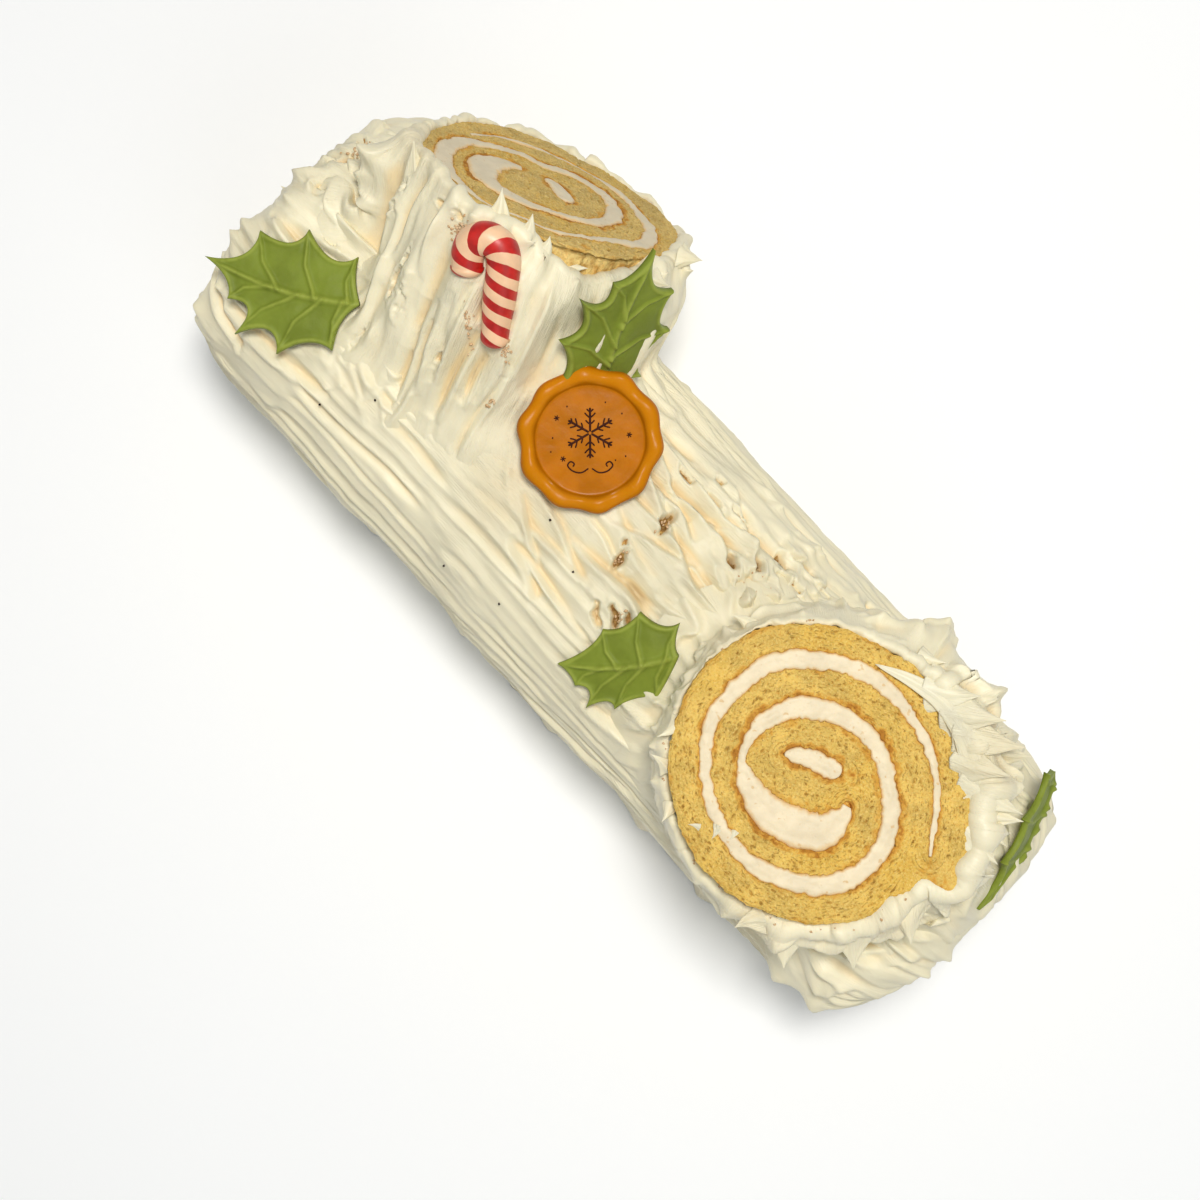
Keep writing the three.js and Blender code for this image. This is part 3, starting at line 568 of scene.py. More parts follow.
def log_outline():
    """The log's cross-section from the left foot over the crown to the right foot, as finely spaced (y, z): two
    upright flanks, and over them half a superellipse, |y / a|^n + |z / b|^n = 1. With it goes the length along
    it, 0 at the crown."""
    angle = np.linspace(-math.pi / 2, math.pi / 2, 1201)
    across, up = np.sin(angle), np.cos(angle)
    reach = np.abs(across / LOG_HALF_WIDTH) ** LOG_SHOULDER_POWER + np.abs(up / LOG_WAIST) ** LOG_SHOULDER_POWER
    radius = reach ** (-1 / LOG_SHOULDER_POWER)
    flank = np.linspace(0, LOG_WAIST, 80)[:-1]
    y = np.concatenate([np.full(79, -LOG_HALF_WIDTH), radius * across, np.full(79, LOG_HALF_WIDTH)])
    z = np.concatenate([flank, LOG_WAIST + radius * up, flank[::-1]])
    length = np.concatenate([[0], np.cumsum(np.hypot(np.diff(y), np.diff(z)))])
    return y, z, length - length[-1] / 2


def log_arc(y):
    """Length along the log's cross-section from the crown to where the top is above y."""
    ys, zs, arc = log_outline()
    top = zs > LOG_WAIST
    return float(np.interp(y, ys[top], arc[top]))


def flank_shift(x, height_share):
    """How far the left flank stands in from its plain place: a table along the log, less towards the crown."""
    xs, shifts = (np.array(column, dtype=float) for column in zip(*LEFT_FLANK))
    return np.interp(x, xs, shifts) * (1 - height_share) ** 1.2


def log_grid(step):
    """The log without its frosting's marks: its section carried along X, drawn in towards both ends as a quarter
    circle and scaled down to the middle of each end wall. The columns go round over the crown and back under the
    base. With it go the lengths p along it and q round it, and the share of the section."""
    ys, zs, arc = log_outline()
    foot = arc[-1]
    fine = np.arange(-FINE_HALF, FINE_HALF + step, step)
    coarse = np.linspace(FINE_HALF, foot, 2 + int((foot - FINE_HALF) / COARSE_STEP))[1:]
    q = np.concatenate([-coarse[::-1], fine, coarse])
    y, z = np.interp(q, arc, ys), np.interp(q, arc, zs)
    base = np.linspace(LOG_HALF_WIDTH, -LOG_HALF_WIDTH, 12)[1:-1]
    y, z = np.concatenate([y, base]), np.concatenate([z, np.zeros(len(base))])
    q = np.concatenate([q, foot + LOG_HALF_WIDTH - base])
    wall = 1 - LOG_END_ROUND / LOG_WAIST
    inner = np.linspace(0.04, wall, 26)[:-1]
    turn = np.linspace(0, math.pi / 2, 2 + int(LOG_END_ROUND * 1.57 / step))[:-1]
    share = np.concatenate([inner, wall + (1 - wall) * np.sin(turn)])
    inset = np.concatenate([0 * inner, LOG_END_ROUND * (1 - np.cos(turn))])
    run = np.concatenate([(wall - inner) * -LOG_WAIST - LOG_END_ROUND * 1.57, (turn - math.pi / 2) * LOG_END_ROUND])
    low, high = LOG_ENDS[0] + LOG_END_ROUND, LOG_ENDS[1] - LOG_END_ROUND
    straight = np.linspace(low, high, 1 + int((high - low) / step))
    x = np.concatenate([LOG_ENDS[0] + inset, straight, (LOG_ENDS[1] - inset)[::-1]])
    p = np.concatenate([low + run, straight, (high - run)[::-1]])
    share = np.concatenate([share, np.ones_like(straight), share[::-1]])
    x, y, z, share_at = x[:, None], y[None, :], z[None, :], share[:, None]
    height_share = ease(z / LOG_WAIST)
    reach = np.where(share_at > wall, 1.0, share_at) * (1 - height_share) + share_at * height_share
    flare = np.where(y < 0, *LOG_FOOT_FLARE) * (1 - height_share) ** 4 * (1 + 0.8 * noise(x / 6.5, y * 0 + 1))
    flare = flare - np.where(y < 0, flank_shift(x, z / LOG_HEIGHT), 0.0)
    to_end = np.clip(np.minimum(x - LOG_ENDS[0], LOG_ENDS[1] - x) / LOG_TAPER_LENGTH, 0, 1)
    widening = 1 + (flare - LOG_TAPER * (1 - to_end) ** 2) / LOG_HALF_WIDTH
    z = LOG_WAIST + (z - LOG_WAIST) * reach
    points = np.stack(np.broadcast_arrays(x, y * reach * widening, z), axis=-1)
    shape = points.shape[:2]
    return points, np.broadcast_to(p[:, None], shape), np.broadcast_to(q[None, :], shape), share_at


def spot(x, y):
    """A place on top of the log as lengths over its grid."""
    return x, log_arc(y)


def swirl(skin, draw, middle):
    """Strokes that turn round a middle and leave small tips."""
    for turn in range(-10, 280, 24):
        way = turn + draw.uniform(-8, 8)
        strokes(draw, 1, skin.drag, list(middle + SWIRL_REACH * heading(way)), (way + 10, way + 40), (9, 17),
                (2.2, 3.6), pitch=(4, 6), depth=(1.2, 2.0), level=(0.0, 1.4), lip=(1.0, 2.2), bend=(-0.3, 0.3),
                dome=(0.4, 1))


def log_spread(p, q, seed):
    """The frosting of the log: a first smooth coat, long furrows laid side by side down the left shoulder, broad
    soft strokes with folds over the crown, shorter torn ones with peaks and holes on the right, and ends drawn
    out into points."""
    draw = np.random.default_rng(seed)
    skin = Spread(p, q, seed)

    def on_top(stroke):
        """The stroke at a place (x, y) on top of the log."""
        return lambda at, *numbers, **named: stroke(spot(*at), *numbers, **named)

    # a coat all over, then the right shoulder: longer folds above, short torn strokes lower down
    skin.lanes(draw, (-175, 165), (-130, 131), 11.0, (-4, 4), (50, 110), (7, 10), pitch=(4.6, 8.0),
               depth=(0.7, 1.3), level=(-0.4, 0.3), lip=(0.2, 0.6), bend=(-0.05, 0.05), dome=(0, 0.4), fade=12.0)
    skin.lanes(draw, (-60, 120), (22, 92), 9.0, (-7, 4), (40, 95), (5.5, 9), pitch=(3.8, 6.5), depth=(1.4, 2.4),
               level=(-0.6, 0.7), lip=(0.5, 1.3), bend=(-0.08, 0.08), dome=(0, 0.4), fade=(0.0, 12.0))
    # crown: broad, softer swoops that run towards the slice and bend left
    strokes(draw, 20, skin.drag, [(-62, 24), (-22, 34)], (-22, 4), (44, 84), (7, 12), pitch=(4.6, 9),
            depth=(1.3, 2.3), level=(-0.5, 0.9), lip=(0.4, 1.2), bend=(-0.18, 0.1), dome=(0, 0.5), fade=(4.0, 16.0))
    # left shoulder: long comb-like furrows, crisp above and softer below
    skin.lanes(draw, (-150, 150), (-100, -22), 11.0, (-3, 3), (90, 170), (8, 12), pitch=(3.6, 5.6),
               depth=(1.5, 2.6), level=(-0.4, 0.5), lip=(0.2, 0.6), bend=(-0.04, 0.04), dome=(0, 0.25),
               fade=(12.0, 26.0))
    # short stacked lobes under the first leaf
    strokes(draw, 10, skin.drag, [(-122, -88), (-24, -8)], (-30, 20), (12, 22), (3.5, 5.5), pitch=(5, 8),
            depth=(0.8, 1.4), level=(0.0, 1.0), lip=(0.9, 1.7), bend=(-0.2, 0.2), dome=(0.4, 1))
    # -X end: strokes that fan out to the border and are drawn out into points there
    for lane in np.arange(-66, 62, 8.5):
        way = 180 - 0.16 * lane
        strokes(draw, 1, skin.drag, [(-120, -106), (0.8 * lane - 3, 0.8 * lane + 3)], (way - 7, way + 7), (30, 46),
                (4.5, 7.5), pitch=(3.6, 6.5), depth=(0.9, 1.7), level=(-0.3, 0.9), lip=(0.8, 1.8),
                bend=(-0.12, 0.12), dome=(0, 0.7))
        strokes(draw, 1, skin.pull, [(-156, -144), (lane - 3, lane + 3)], (1.8, 2.8), (2.0, 4.6),
                [(-3.5, -1.0), (-1, 1)], (1.4, 2.2))
    swirl(skin, draw, spot(-142.0, 22.0))
    # +X end: broad soft folds that run out from under the slice and end in big peaks at the border
    for lane in np.arange(-70, 64, 9.5):
        way = 0.22 * lane
        strokes(draw, 1, skin.drag, [(104, 116), (0.75 * lane - 3, 0.75 * lane + 3)], (way - 16, way + 16), (24, 40),
                (5, 9), pitch=(6, 12), depth=(0.9, 1.9), level=(-0.6, 1.6), lip=(1.0, 2.4), bend=(-0.3, 0.3),
                dome=(0.4, 1))
    for x, y, *peak in END_PEAKS:
        skin.pull(spot(x, y), *peak, 1.7, draw.uniform(-30, 30))
    skin.dab(spot(142.0, 9.0), 8.0, -5.0, 1.7, 90)
    skin.dab(spot(146.0, 3.0), 7.0, -4.0, 1.4, 90)
    # folds, holes that show the cake, and small pulled tips between them
    for x, y, *fold in CREASES:
        skin.crease(spot(x, y), *fold)
    strokes(draw, 28, skin.crease, [(-150, 140), (-90, 95)], (-12, 9), (20, 60), (0.8, 1.4), (0.9, 1.9), (-0.2, 0.2))
    strokes(draw, 24, skin.crease, [(-30, 40), (-24, 44)], (-26, 8), (16, 44), (0.8, 1.4), (1.0, 2.2), (-0.35, 0.35))
    strokes(draw, 44, on_top(skin.pull), [(14, 66), (16, 46)], (0.9, 1.6), (1.6, 3.8), [(0.2, 1.6), (-1, 1)],
            (1.2, 2.2), (-30, 40))
    strokes(draw, 30, on_top(skin.drag), [(14, 68), (14, 46)], (-58, -28), (7, 14), (1.8, 3.4), pitch=(3, 5),
            depth=(0.9, 1.8), level=(-0.2, 1.8), lip=(1.2, 2.6), bend=(-0.3, 0.3), dome=(0.5, 1))
    for x, y, *hole, shows in TEARS:
        skin.tear(spot(x, y), *hole, draw.uniform(2.4, 3.4), shows)
    return skin, draw


def end_walls(skin, points, share, draw):
    """Blends in the frosting of the two upright end walls, which has strokes of its own in the wall's plane:
    height = share of the wall's field, falling to none round the corner."""
    shape = points.shape[:2]
    for side, columns in ((-1, points[..., 0] < 0), (1, points[..., 0] > 0)):
        weight = (1 - ease((share - 0.66) / 0.26)) * np.ones(shape)
        pick = (columns & (weight > 0)).ravel()
        y, z = points[..., 1].ravel()[pick], points[..., 2].ravel()[pick]
        wall = Spread(y, z, skin.seed + 40 * side)
        strokes(draw, WALL_STROKES, wall.drag, [(-55, 55), (-10, 60)], (60, 120), (24, 60), (5, 9), pitch=(4.0, 7.5),
                depth=(0.8, 1.5), level=(-0.6, 0.8), lip=(0.5, 1.6), bend=(-0.2, 0.2), dome=(0, 0.8))
        w = weight.ravel()[pick]
        skin.height[pick] = skin.height[pick] * (1 - w) + wall.height * w
        for name in ("lean_p", "lean_q"):
            getattr(skin, name)[pick] *= 1 - w
        skin.seed += 100


def add_skin(name, moved, normals, skin, material, parts):
    """Closed meshes of a cyclic grid of frosting, cut across its rows into a number of parts whose shared rows
    have the same points and normals, so that no seam shows."""
    values = {"cavity": skin.cavity, "bare": skin.bare, "flow_t": skin.p, "flow_n": skin.q}
    cuts = np.linspace(0, len(moved) - 1, parts + 1).astype(int)
    for k in range(parts):
        low, high = cuts[k], cuts[k + 1] + 1
        points, quads, triangles = closed_tube(moved[low:high])
        own = {key: with_ends(value.reshape(moved.shape[:2])[low:high]) for key, value in values.items()}
        ends = np.array([moved[low].mean(axis=0) - moved[high - 1].mean(axis=0)])
        own_normals = np.vstack([normals[low:high].reshape(-1, 3), unit(ends), unit(-ends)])
        label = f"{name}_{k + 1}" if parts > 1 else name
        new_piece(label, points, quads, triangles, material, "frosting", ("frosted_log",), own, own_normals)


def finish_log(points, skin, depth):
    """The log's grid moved out by its frosting. The base stays flat on the board's level: nothing there is
    raised, and what lies lower than 0 is put at 0."""
    base = (points[..., 2] < 1e-6).ravel()
    low = ease(points[..., 2] / 2.5).ravel()
    for name in ("height", "lean_p", "lean_q"):
        getattr(skin, name)[:] = getattr(skin, name) * np.where(base, 0.0, 0.35 + 0.65 * low)
    moved, normals = skin.raised(points, depth)
    moved[..., 2] = np.maximum(moved[..., 2], 0.0)
    return moved, normals
# ------------------------------------------------------------------ collars

LIP_ROUND = 1.2
WALL_DEPTH = 7.0
SKIRT_LIFT, SKIRT_DIP = 0.8, 3.2
FILLET = 9


def log_height_over(points):
    """How far points stand out of the plain log, in mm, from its superellipse: the length of the point's place
    in the section past the section's edge in the same direction."""
    power = LOG_SHOULDER_POWER
    y, z = points[..., 1], np.maximum(points[..., 2] - LOG_WAIST, 0)
    ratio = (np.abs(y / LOG_HALF_WIDTH) ** power + (z / LOG_WAIST) ** power) ** (1 / power)
    return np.hypot(y, z) * (1 - 1 / np.maximum(ratio, 1e-6))


def on_log(x, q, height):
    """Points over the log's surface for lengths x along it and q round it: the section's point at q, moved out
    by the height along the section's normal, and drawn in where the log's end is rounded."""
    ys, zs, arc = log_outline()
    y, z = np.interp(q, arc, ys), np.interp(q, arc, zs)
    run_y, run_z = np.interp(q + 0.5, arc, ys) - y, np.interp(q + 0.5, arc, zs) - z
    size = np.maximum(np.hypot(run_y, run_z), 1e-6)
    past = np.clip(np.maximum(LOG_ENDS[0] + LOG_END_ROUND - x, x - LOG_ENDS[1] + LOG_END_ROUND), 0, LOG_END_ROUND)
    share = 1 - (LOG_END_ROUND - np.sqrt(LOG_END_ROUND**2 - past**2)) / LOG_WAIST
    return np.stack([np.clip(x, LOG_ENDS[0] + 1, LOG_ENDS[1] - 1), (y - height * run_z / size) * share,
                     LOG_WAIST + (z + height * run_y / size - LOG_WAIST) * share], axis=-1)


def collar_grid(face, profile, edge, lip_table, thick_table, skirt_table, step, root, seam, seed):
    """A collar of frosting round a piece of roll, as a grid whose columns run from its root over its lip to the
    roll's side. Down from the lip a column follows the profile until it meets the log. There it turns through a
    soft fillet, runs on over the log, away from the collar's middle, for the skirt's length, and dips under the
    log's frosting by a square law. The first column stands at the seam's angle. With the points goes their skin
    of frosting, smoother where the collar lies on the log."""
    radius = face["radius"]
    size, back = np.array(profile, dtype=float).T[:, ::-1]
    columns = int(2 * math.pi * size.max() / step)
    degrees = np.linspace(0, 360, columns, endpoint=False) + seam
    turn, level = np.radians(degrees), 0 * degrees
    inner = radius * around(edge, degrees) - 0.35
    inner = inner + 0.55 * noise(degrees / 4.2, level, radius) - 0.3 * noise(degrees / 1.7, level, radius)
    lip = around(lip_table, degrees) + 1.2 * noise(degrees / 11, level, radius + 1)
    lip = lip + 0.6 * noise(degrees / 3.6, level, radius + 2)
    thick = around(thick_table, degrees) * (1 + 0.22 * noise(degrees / 9, level, radius + 3))
    fine = np.linspace(0, 1, 420)[:, None]
    height = (lip - LIP_ROUND) * (1 - fine) - root * fine
    outer = radius + (np.interp(-height, back, size) - radius) * np.clip(0.35 + thick / 5, 0.3, 1.1)
    near_lip = ease((height + 14) / 13)
    outer = outer * (1 - near_lip) + np.maximum(inner + thick, outer - 8) * near_lip
    straight = round_face(face, outer, turn, height)
    meets = log_height_over(straight) < SKIRT_LIFT
    at = np.where(meets.any(axis=0), meets.argmax(axis=0), len(fine) - 1)
    at = np.round(running_mean(at.astype(float), FILLET, 0, "wrap")).astype(int)
    column = np.arange(columns)
    foot = straight[at, column]
    ys, zs, arc = log_outline()
    bearing = np.arctan2(ys, zs - LOG_WAIST)
    foot_q = np.interp(np.arctan2(foot[:, 1], foot[:, 2] - LOG_WAIST), bearing, arc)
    away = unit(np.stack([foot[:, 0] - foot[:, 0].mean(), foot_q - foot_q.mean()], axis=1))
    onward = -axes_of(face)[3][:2]
    away = unit(away + 0.7 * np.maximum(away @ onward, 0.0)[:, None] * onward)
    skirt = around(skirt_table, degrees)
    rows = int((root + sum(row[1] for row in skirt_table) / len(skirt_table)) / (step * 0.92))
    run = np.cumsum(np.linalg.norm(np.diff(straight, axis=0, prepend=straight[:1]), axis=2), axis=0)
    to_foot = run[at, column]
    s = np.linspace(0, 1, rows)[:, None] * (to_foot + skirt)
    index = np.clip(s / np.maximum(run[-1], 1e-6) * (len(fine) - 1), 0, len(fine) - 1.001)
    low = np.minimum(index.astype(int), at - 1)
    part = np.minimum(index - low, 1.0)[..., None]
    over_straight = straight[low, column] * (1 - part) + straight[low + 1, column] * part
    past = np.maximum(s - to_foot, 0)
    sunk = SKIRT_LIFT - SKIRT_DIP * (past / skirt) ** 2
    over_log = on_log(foot[:, 0] + past * away[:, 0], foot_q + past * away[:, 1], sunk)
    outside = np.where((past > 0)[..., None], over_log, over_straight)
    # the fillet: a running mean along the columns, felt only near the turn
    near = np.exp(-(((s - to_foot) / FILLET) ** 2))[..., None]
    for _ in range(3):
        outside = outside * (1 - near) + running_mean(outside, FILLET, 0, "edge") * near
    bend = np.linspace(0, math.pi, 12)[1:-1, None]
    half = (outer[0] - inner) / 2
    wall = np.linspace(0, 1, 7)[:, None]
    wall_height = (lip - LIP_ROUND) * (1 - wall) - WALL_DEPTH * wall
    r = np.vstack([inner + half + half * np.cos(bend), np.broadcast_to(inner, wall_height.shape)])
    h = np.vstack([lip - LIP_ROUND + np.minimum(half, 1.6) * np.sin(bend), wall_height])
    points = np.concatenate([outside[::-1], round_face(face, r, turn, h)])
    p = np.vstack([-s[::-1], np.cumsum(np.linalg.norm(np.diff(points[rows - 1:], axis=0), axis=2), axis=0)])
    skin = Spread(p, np.broadcast_to(turn * size.max(), p.shape), seed)
    over = np.vstack([(s - to_foot)[::-1], np.full((len(r), columns), -root)])
    skin.height *= 1 - 0.8 * ease((over.ravel() + 4) / 8)
    return points, skin


def round_from(seam, degrees, profile):
    """Length round a collar to an angle, for columns that start at the seam's angle."""
    return math.radians((degrees - seam) % 360 + seam) * max(row[0] for row in profile)


def closed_seam(skin, points, width=14):
    """Eases the frosting's height near the last columns of a collar into that of the first, so that it closes."""
    share = ease(np.linspace(0, 1, width + 1)[1:])
    for grid in (skin.height, skin.lean_p, skin.lean_q, skin.bare):
        grid = grid.reshape(points.shape[:2])
        grid[:, -width:] = grid[:, -width:] * (1 - share) + grid[:, :1] * share


BRANCH_SEAM, CROWN_SEAM = -270, -150
BRANCH_LIP = (
    (-175, 0.4), (-160, 1.2), (-145, 2.0), (-128, 2.6), (-118, 2.4), (-104, 0.6), (-92, 0.2), (-82, -1.4),
    (-73, -4.0), (-64, -6.4), (-54, -7.0), (-46, -4.6), (-38, -3.4), (-28, -3.6), (-18, -1.0), (-8, 0.6),
    (10, 0.6), (40, 0.2), (80, 0.4), (120, 0.4), (150, 0.4),
)
BRANCH_THICK = (
    (-175, 3.0), (-150, 3.5), (-120, 4.0), (-95, 4.0), (-70, 2.0), (-50, 2.0), (-30, 4.0), (-5, 5.0), (20, 4.0),
    (50, 2.6), (90, 3.0), (130, 2.4), (160, 2.6),
)
BRANCH_SKIRT = ((-170, 22), (-140, 20), (-110, 15), (-85, 14), (-60, 16), (-30, 18), (0, 14), (60, 10),
                (120, 10), (160, 16))
CROWN_LIP = (
    (-90, -4.0), (-75, -3.0), (-62, -2.0), (-50, -1.0), (-38, -0.8), (-22, -0.4), (-8, -0.2), (12, 0.4), (30, 0.6),
    (48, -0.6), (62, -2.4), (85, -3.2), (110, -3.6), (135, -4.5), (160, -7.0), (190, -8.5), (215, -9.0),
    (240, -8.0), (255, -6.0),
)
CROWN_THICK = (
    (-90, 3.4), (-64, 5.5), (-46, 2.4), (-33, 2.6), (-20, 5.0), (0, 4.8), (20, 4.4), (40, 3.6), (60, 2.6), (85, 1.6),
    (120, 1.2), (160, 0.8), (200, 0.8), (240, 1.4),
)
CROWN_SKIRT = ((-90, 16), (-45, 18), (0, 14), (45, 12), (90, 12), (135, 16), (180, 18), (225, 14))

# Peaks at the branch's lip: degrees round the face, reach, height, lean towards the lip and round it, squash.
BRANCH_PEAKS = (
    (-168, 3.0, 3.0, (1.0, 0.5), 1.4), (-128, 2.4, 1.6, (1.5, 1.5), 1.8), (-113, 1.8, 2.4, (2.0, 1.5), 1.6),
    (-104, 1.5, 3.0, (2.0, -1.0), 1.5), (-95, 1.7, 5.4, (2.5, 2.0), 1.4), (-86, 1.7, 5.4, (3.0, 2.0), 1.4),
    (-78, 1.7, 3.4, (2.5, 1.6), 1.5), (-62, 1.5, 2.4, (2.4, 0.3), 1.6),
    (-47, 1.7, 4.0, (3.0, 0.8), 1.5), (-40, 1.6, 3.6, (2.5, 0.5), 1.5), (-31, 1.8, 3.0, (2.0, 0.5), 1.5),
    (-18, 2.6, 4.0, (1.5, -1.0), 1.4), (-3, 2.4, 5.0, (2.0, 0.6), 1.5), (10, 2.4, 3.0, (1.5, 0.5), 1.4),
    (34, 1.8, 2.4, (1.4, 0.2), 1.5), (60, 1.8, 2.2, (1.2, 0.2), 1.4), (92, 1.7, 1.8, (1.2, 0.2), 1.4),
    (122, 2.0, 2.4, (1.2, -0.4), 1.5), (150, 2.4, 2.6, (1.2, 0.2), 1.5),
)
CROWN_PEAKS = (
    (-84, 4.6, 2.4, (0.5, 1.0), 1.8), (-62, 4.6, 3.0, (0.5, -1.0), 1.8), (-48, 4.0, 3.0, (0.5, 1.5), 1.6),
    (-34, 3.6, 5.6, (1.5, 1.0), 1.4), (-18, 3.4, 7.0, (0.6, -2.0), 1.5), (-5, 3.4, 8.0, (0.8, 2.4), 1.5),
    (11, 3.2, 7.6, (1.2, 2.2), 1.6), (23, 2.8, 6.0, (1.0, -1.6), 1.5), (36, 2.6, 4.4, (0.5, 1.6), 1.5),
    (96, 1.4, 1.4, (0.8, 0.4), 1.4), (128, 1.6, 2.0, (0.9, -0.4), 1.5), (150, 1.6, 2.2, (0.9, 0.4), 1.5),
    (170, 2.2, 4.0, (2.0, 1.0), 1.5), (184, 1.9, 3.0, (1.2, -1.0), 1.6), (222, 1.6, 2.0, (0.8, 0.5), 1.4),
    (-122, 3.0, 4.0, (1.0, -1.5), 1.5), (-104, 3.6, 5.0, (0.5, 1.0), 1.4),
)

# Folds down the branch's side: distance behind the lip, degrees round it, reach, height, squash, way.
BRANCH_FOLDS = (
    (20, -154, 4.0, 3.6, 5, 4), (24, -136, 3.2, 2.4, 7, -3), (20, -118, 3.0, 2.6, 7, 5), (24, -99, 4.0, 3.2, 6, -4),
    (24, -72, 4.6, 3.4, 5, 6), (32, -46, 4.0, 2.8, 5, 0), (26, -145, 3.4, -2.2, 7, 0), (22, -108, 3.0, -2.0, 6, 3),
    (30, -60, 3.6, -2.2, 5, 0), (26, -86, 3.4, -1.8, 6, 0), (30, -128, 2.8, -1.6, 6, 2), (22, -24, 4.2, 2.6, 5, 0),
)
# Thin places on the branch: distance behind the lip, degrees round it, way, length, width, how bare.
BRANCH_TEARS = (
    (34, -124, 4, 11, 2.6, 0.42), (38, -118, -3, 9, 2.0, 0.34), (26, -122, 2, 6, 1.6, 0.4),
    (10, -137, 0, 3.4, 1.4, 0.35), (18, -138, 4, 4.0, 1.2, 0.3), (5, -118, 0, 2.4, 2.8, 0.45),
    (3.4, -109, 0, 2.0, 3.6, 0.5), (46, -96, 10, 3.2, 2.0, 0.5), (60, -128, 0, 8, 1.2, 0.3),
    (23, -170, 60, 8, 3.0, 0.85), (31, -167, 30, 7, 3.0, 0.85), (19, -165, 80, 6, 2.4, 0.8),
    (27, -174, 10, 5, 2.2, 0.8),
)


def branch_skin(settings):
    """The branch's frosting: long strokes from the lip down to the log, broad ones where it faces up, which end
    one after the other on the crown, and peaks pulled up over the lip beside the cane."""
    points, skin = collar_grid(BRANCH, BRANCH_COLLAR, BRANCH_EDGE, BRANCH_LIP, BRANCH_THICK, BRANCH_SKIRT,
                               settings.grid * 1.04, 76.0, BRANCH_SEAM, settings.seed + 500.0)
    draw = np.random.default_rng(settings.seed + 1)

    def ring(degrees):
        return round_from(BRANCH_SEAM, degrees, BRANCH_COLLAR)

    for lane in draw.permutation(np.arange(skin.q.min(), skin.q.max(), 7.0)):
        for start, reach in ((-30, 75), (-2, 64)):
            strokes(draw, 1, skin.drag, [(start - 6, start + 2), (lane - 2, lane + 2)], (175, 185),
                    (0.55 * reach, 0.95 * reach), (4.5, 8), pitch=(3.8, 6.4), depth=(1.4, 2.4), level=(-0.5, 1.0),
                    lip=(0.4, 1.2), bend=(-0.08, 0.08), dome=(0, 1.0), fade=(4, 16))
    # strokes that run off the branch onto the crown
    for lane in np.arange(-172, 4, 7.5):
        strokes(draw, 1, skin.drag, [(-34, -50), (ring(lane) - 2, ring(lane) + 2)], (173, 187), (30, 54), (3.8, 6.5),
                pitch=(3.6, 5.5), depth=(1.0, 1.9), level=(0.0, 1.2), lip=(0.2, 1.0), bend=(-0.1, 0.1),
                dome=(0.1, 1), fade=(6, 16))
    strokes(draw, 26, skin.crease, [(-8, -66), (ring(-175), ring(5))], (174, 186), (16, 44), (0.8, 1.4), (1.0, 2.4),
            (-0.1, 0.1))
    swirl(skin, draw, (-26.0, ring(-168)))
    for behind, angle, *fold in BRANCH_FOLDS:
        skin.dab((-behind, ring(angle)), *fold)
    skin.height *= 0.3 + 0.7 * ease(-skin.p / 11)
    skin.pull((-9.0, ring(-152)), 3.0, 10.0, (2.5, 0.5), 1.6)
    for angle, *peak in BRANCH_PEAKS:
        skin.pull((-2.0, ring(angle)), *peak)
    for behind, angle, way, length, width, shows in BRANCH_TEARS:
        skin.tear((-behind, ring(angle)), way, length, width, 1.3, shows)
    closed_seam(skin, points)
    return points, skin


def crown_skin(settings):
    """The frosting round the crown slice: strokes up its side, thick and peaked towards the log's near end and
    thin, nearly bare, on the far side."""
    points, skin = collar_grid(CROWN, CROWN_COLLAR, CROWN_EDGE, CROWN_LIP, CROWN_THICK, CROWN_SKIRT,
                               settings.grid * 1.04, 44.0, CROWN_SEAM, settings.seed + 900.0)
    draw = np.random.default_rng(settings.seed + 2)
    whole = (skin.q.min(), skin.q.max())

    def ring(degrees):
        return round_from(CROWN_SEAM, degrees, CROWN_COLLAR)

    for lane in draw.permutation(np.arange(*whole, 6.5)):
        strokes(draw, 1, skin.drag, [(-26, -44), (lane - 2, lane + 2)], (-24, 24), (22, 40), (4.5, 8), pitch=(5, 9),
                depth=(0.8, 1.6), level=(-0.6, 1.3), lip=(0.8, 2.0), bend=(-0.3, 0.3), dome=(0.3, 1))
    strokes(draw, 30, skin.drag, [(-8, -34), whole], (0, 360), (10, 22), (3, 6), pitch=(5, 9), depth=(0.6, 1.4),
            level=(0.0, 1.5), lip=(0.6, 1.6), bend=(-0.4, 0.4), dome=(0.4, 1))
    strokes(draw, 24, skin.drag, [(3, -10), whole], (62, 118), (14, 34), (3, 5.5), pitch=(4, 8), depth=(0.6, 1.3),
            level=(-0.6, 1.0), lip=(0.8, 2.0), bend=(-0.3, 0.3), dome=(0.2, 1))
    strokes(draw, 34, skin.dab, [(-3, -36), (ring(-110), ring(66))], (3.2, 6.0), (-4.4, 4.2), (1, 1.8), (0, 180))
    strokes(draw, 26, skin.pull, [(-3, -26), (ring(-52), ring(62))], (1.8, 3.6), (2.4, 5.6),
            [(-0.5, 2.0), (-1.8, 1.8)], (1.2, 2.0), (-40, 40))
    skin.height *= 0.45 + 0.55 * ease(-skin.p / 8)
    for angle, *peak in CROWN_PEAKS:
        skin.pull((-2.5, ring(angle)), *peak)
    closed_seam(skin, points)
    return points, skin


# ------------------------------------------------------------------ pulled tips


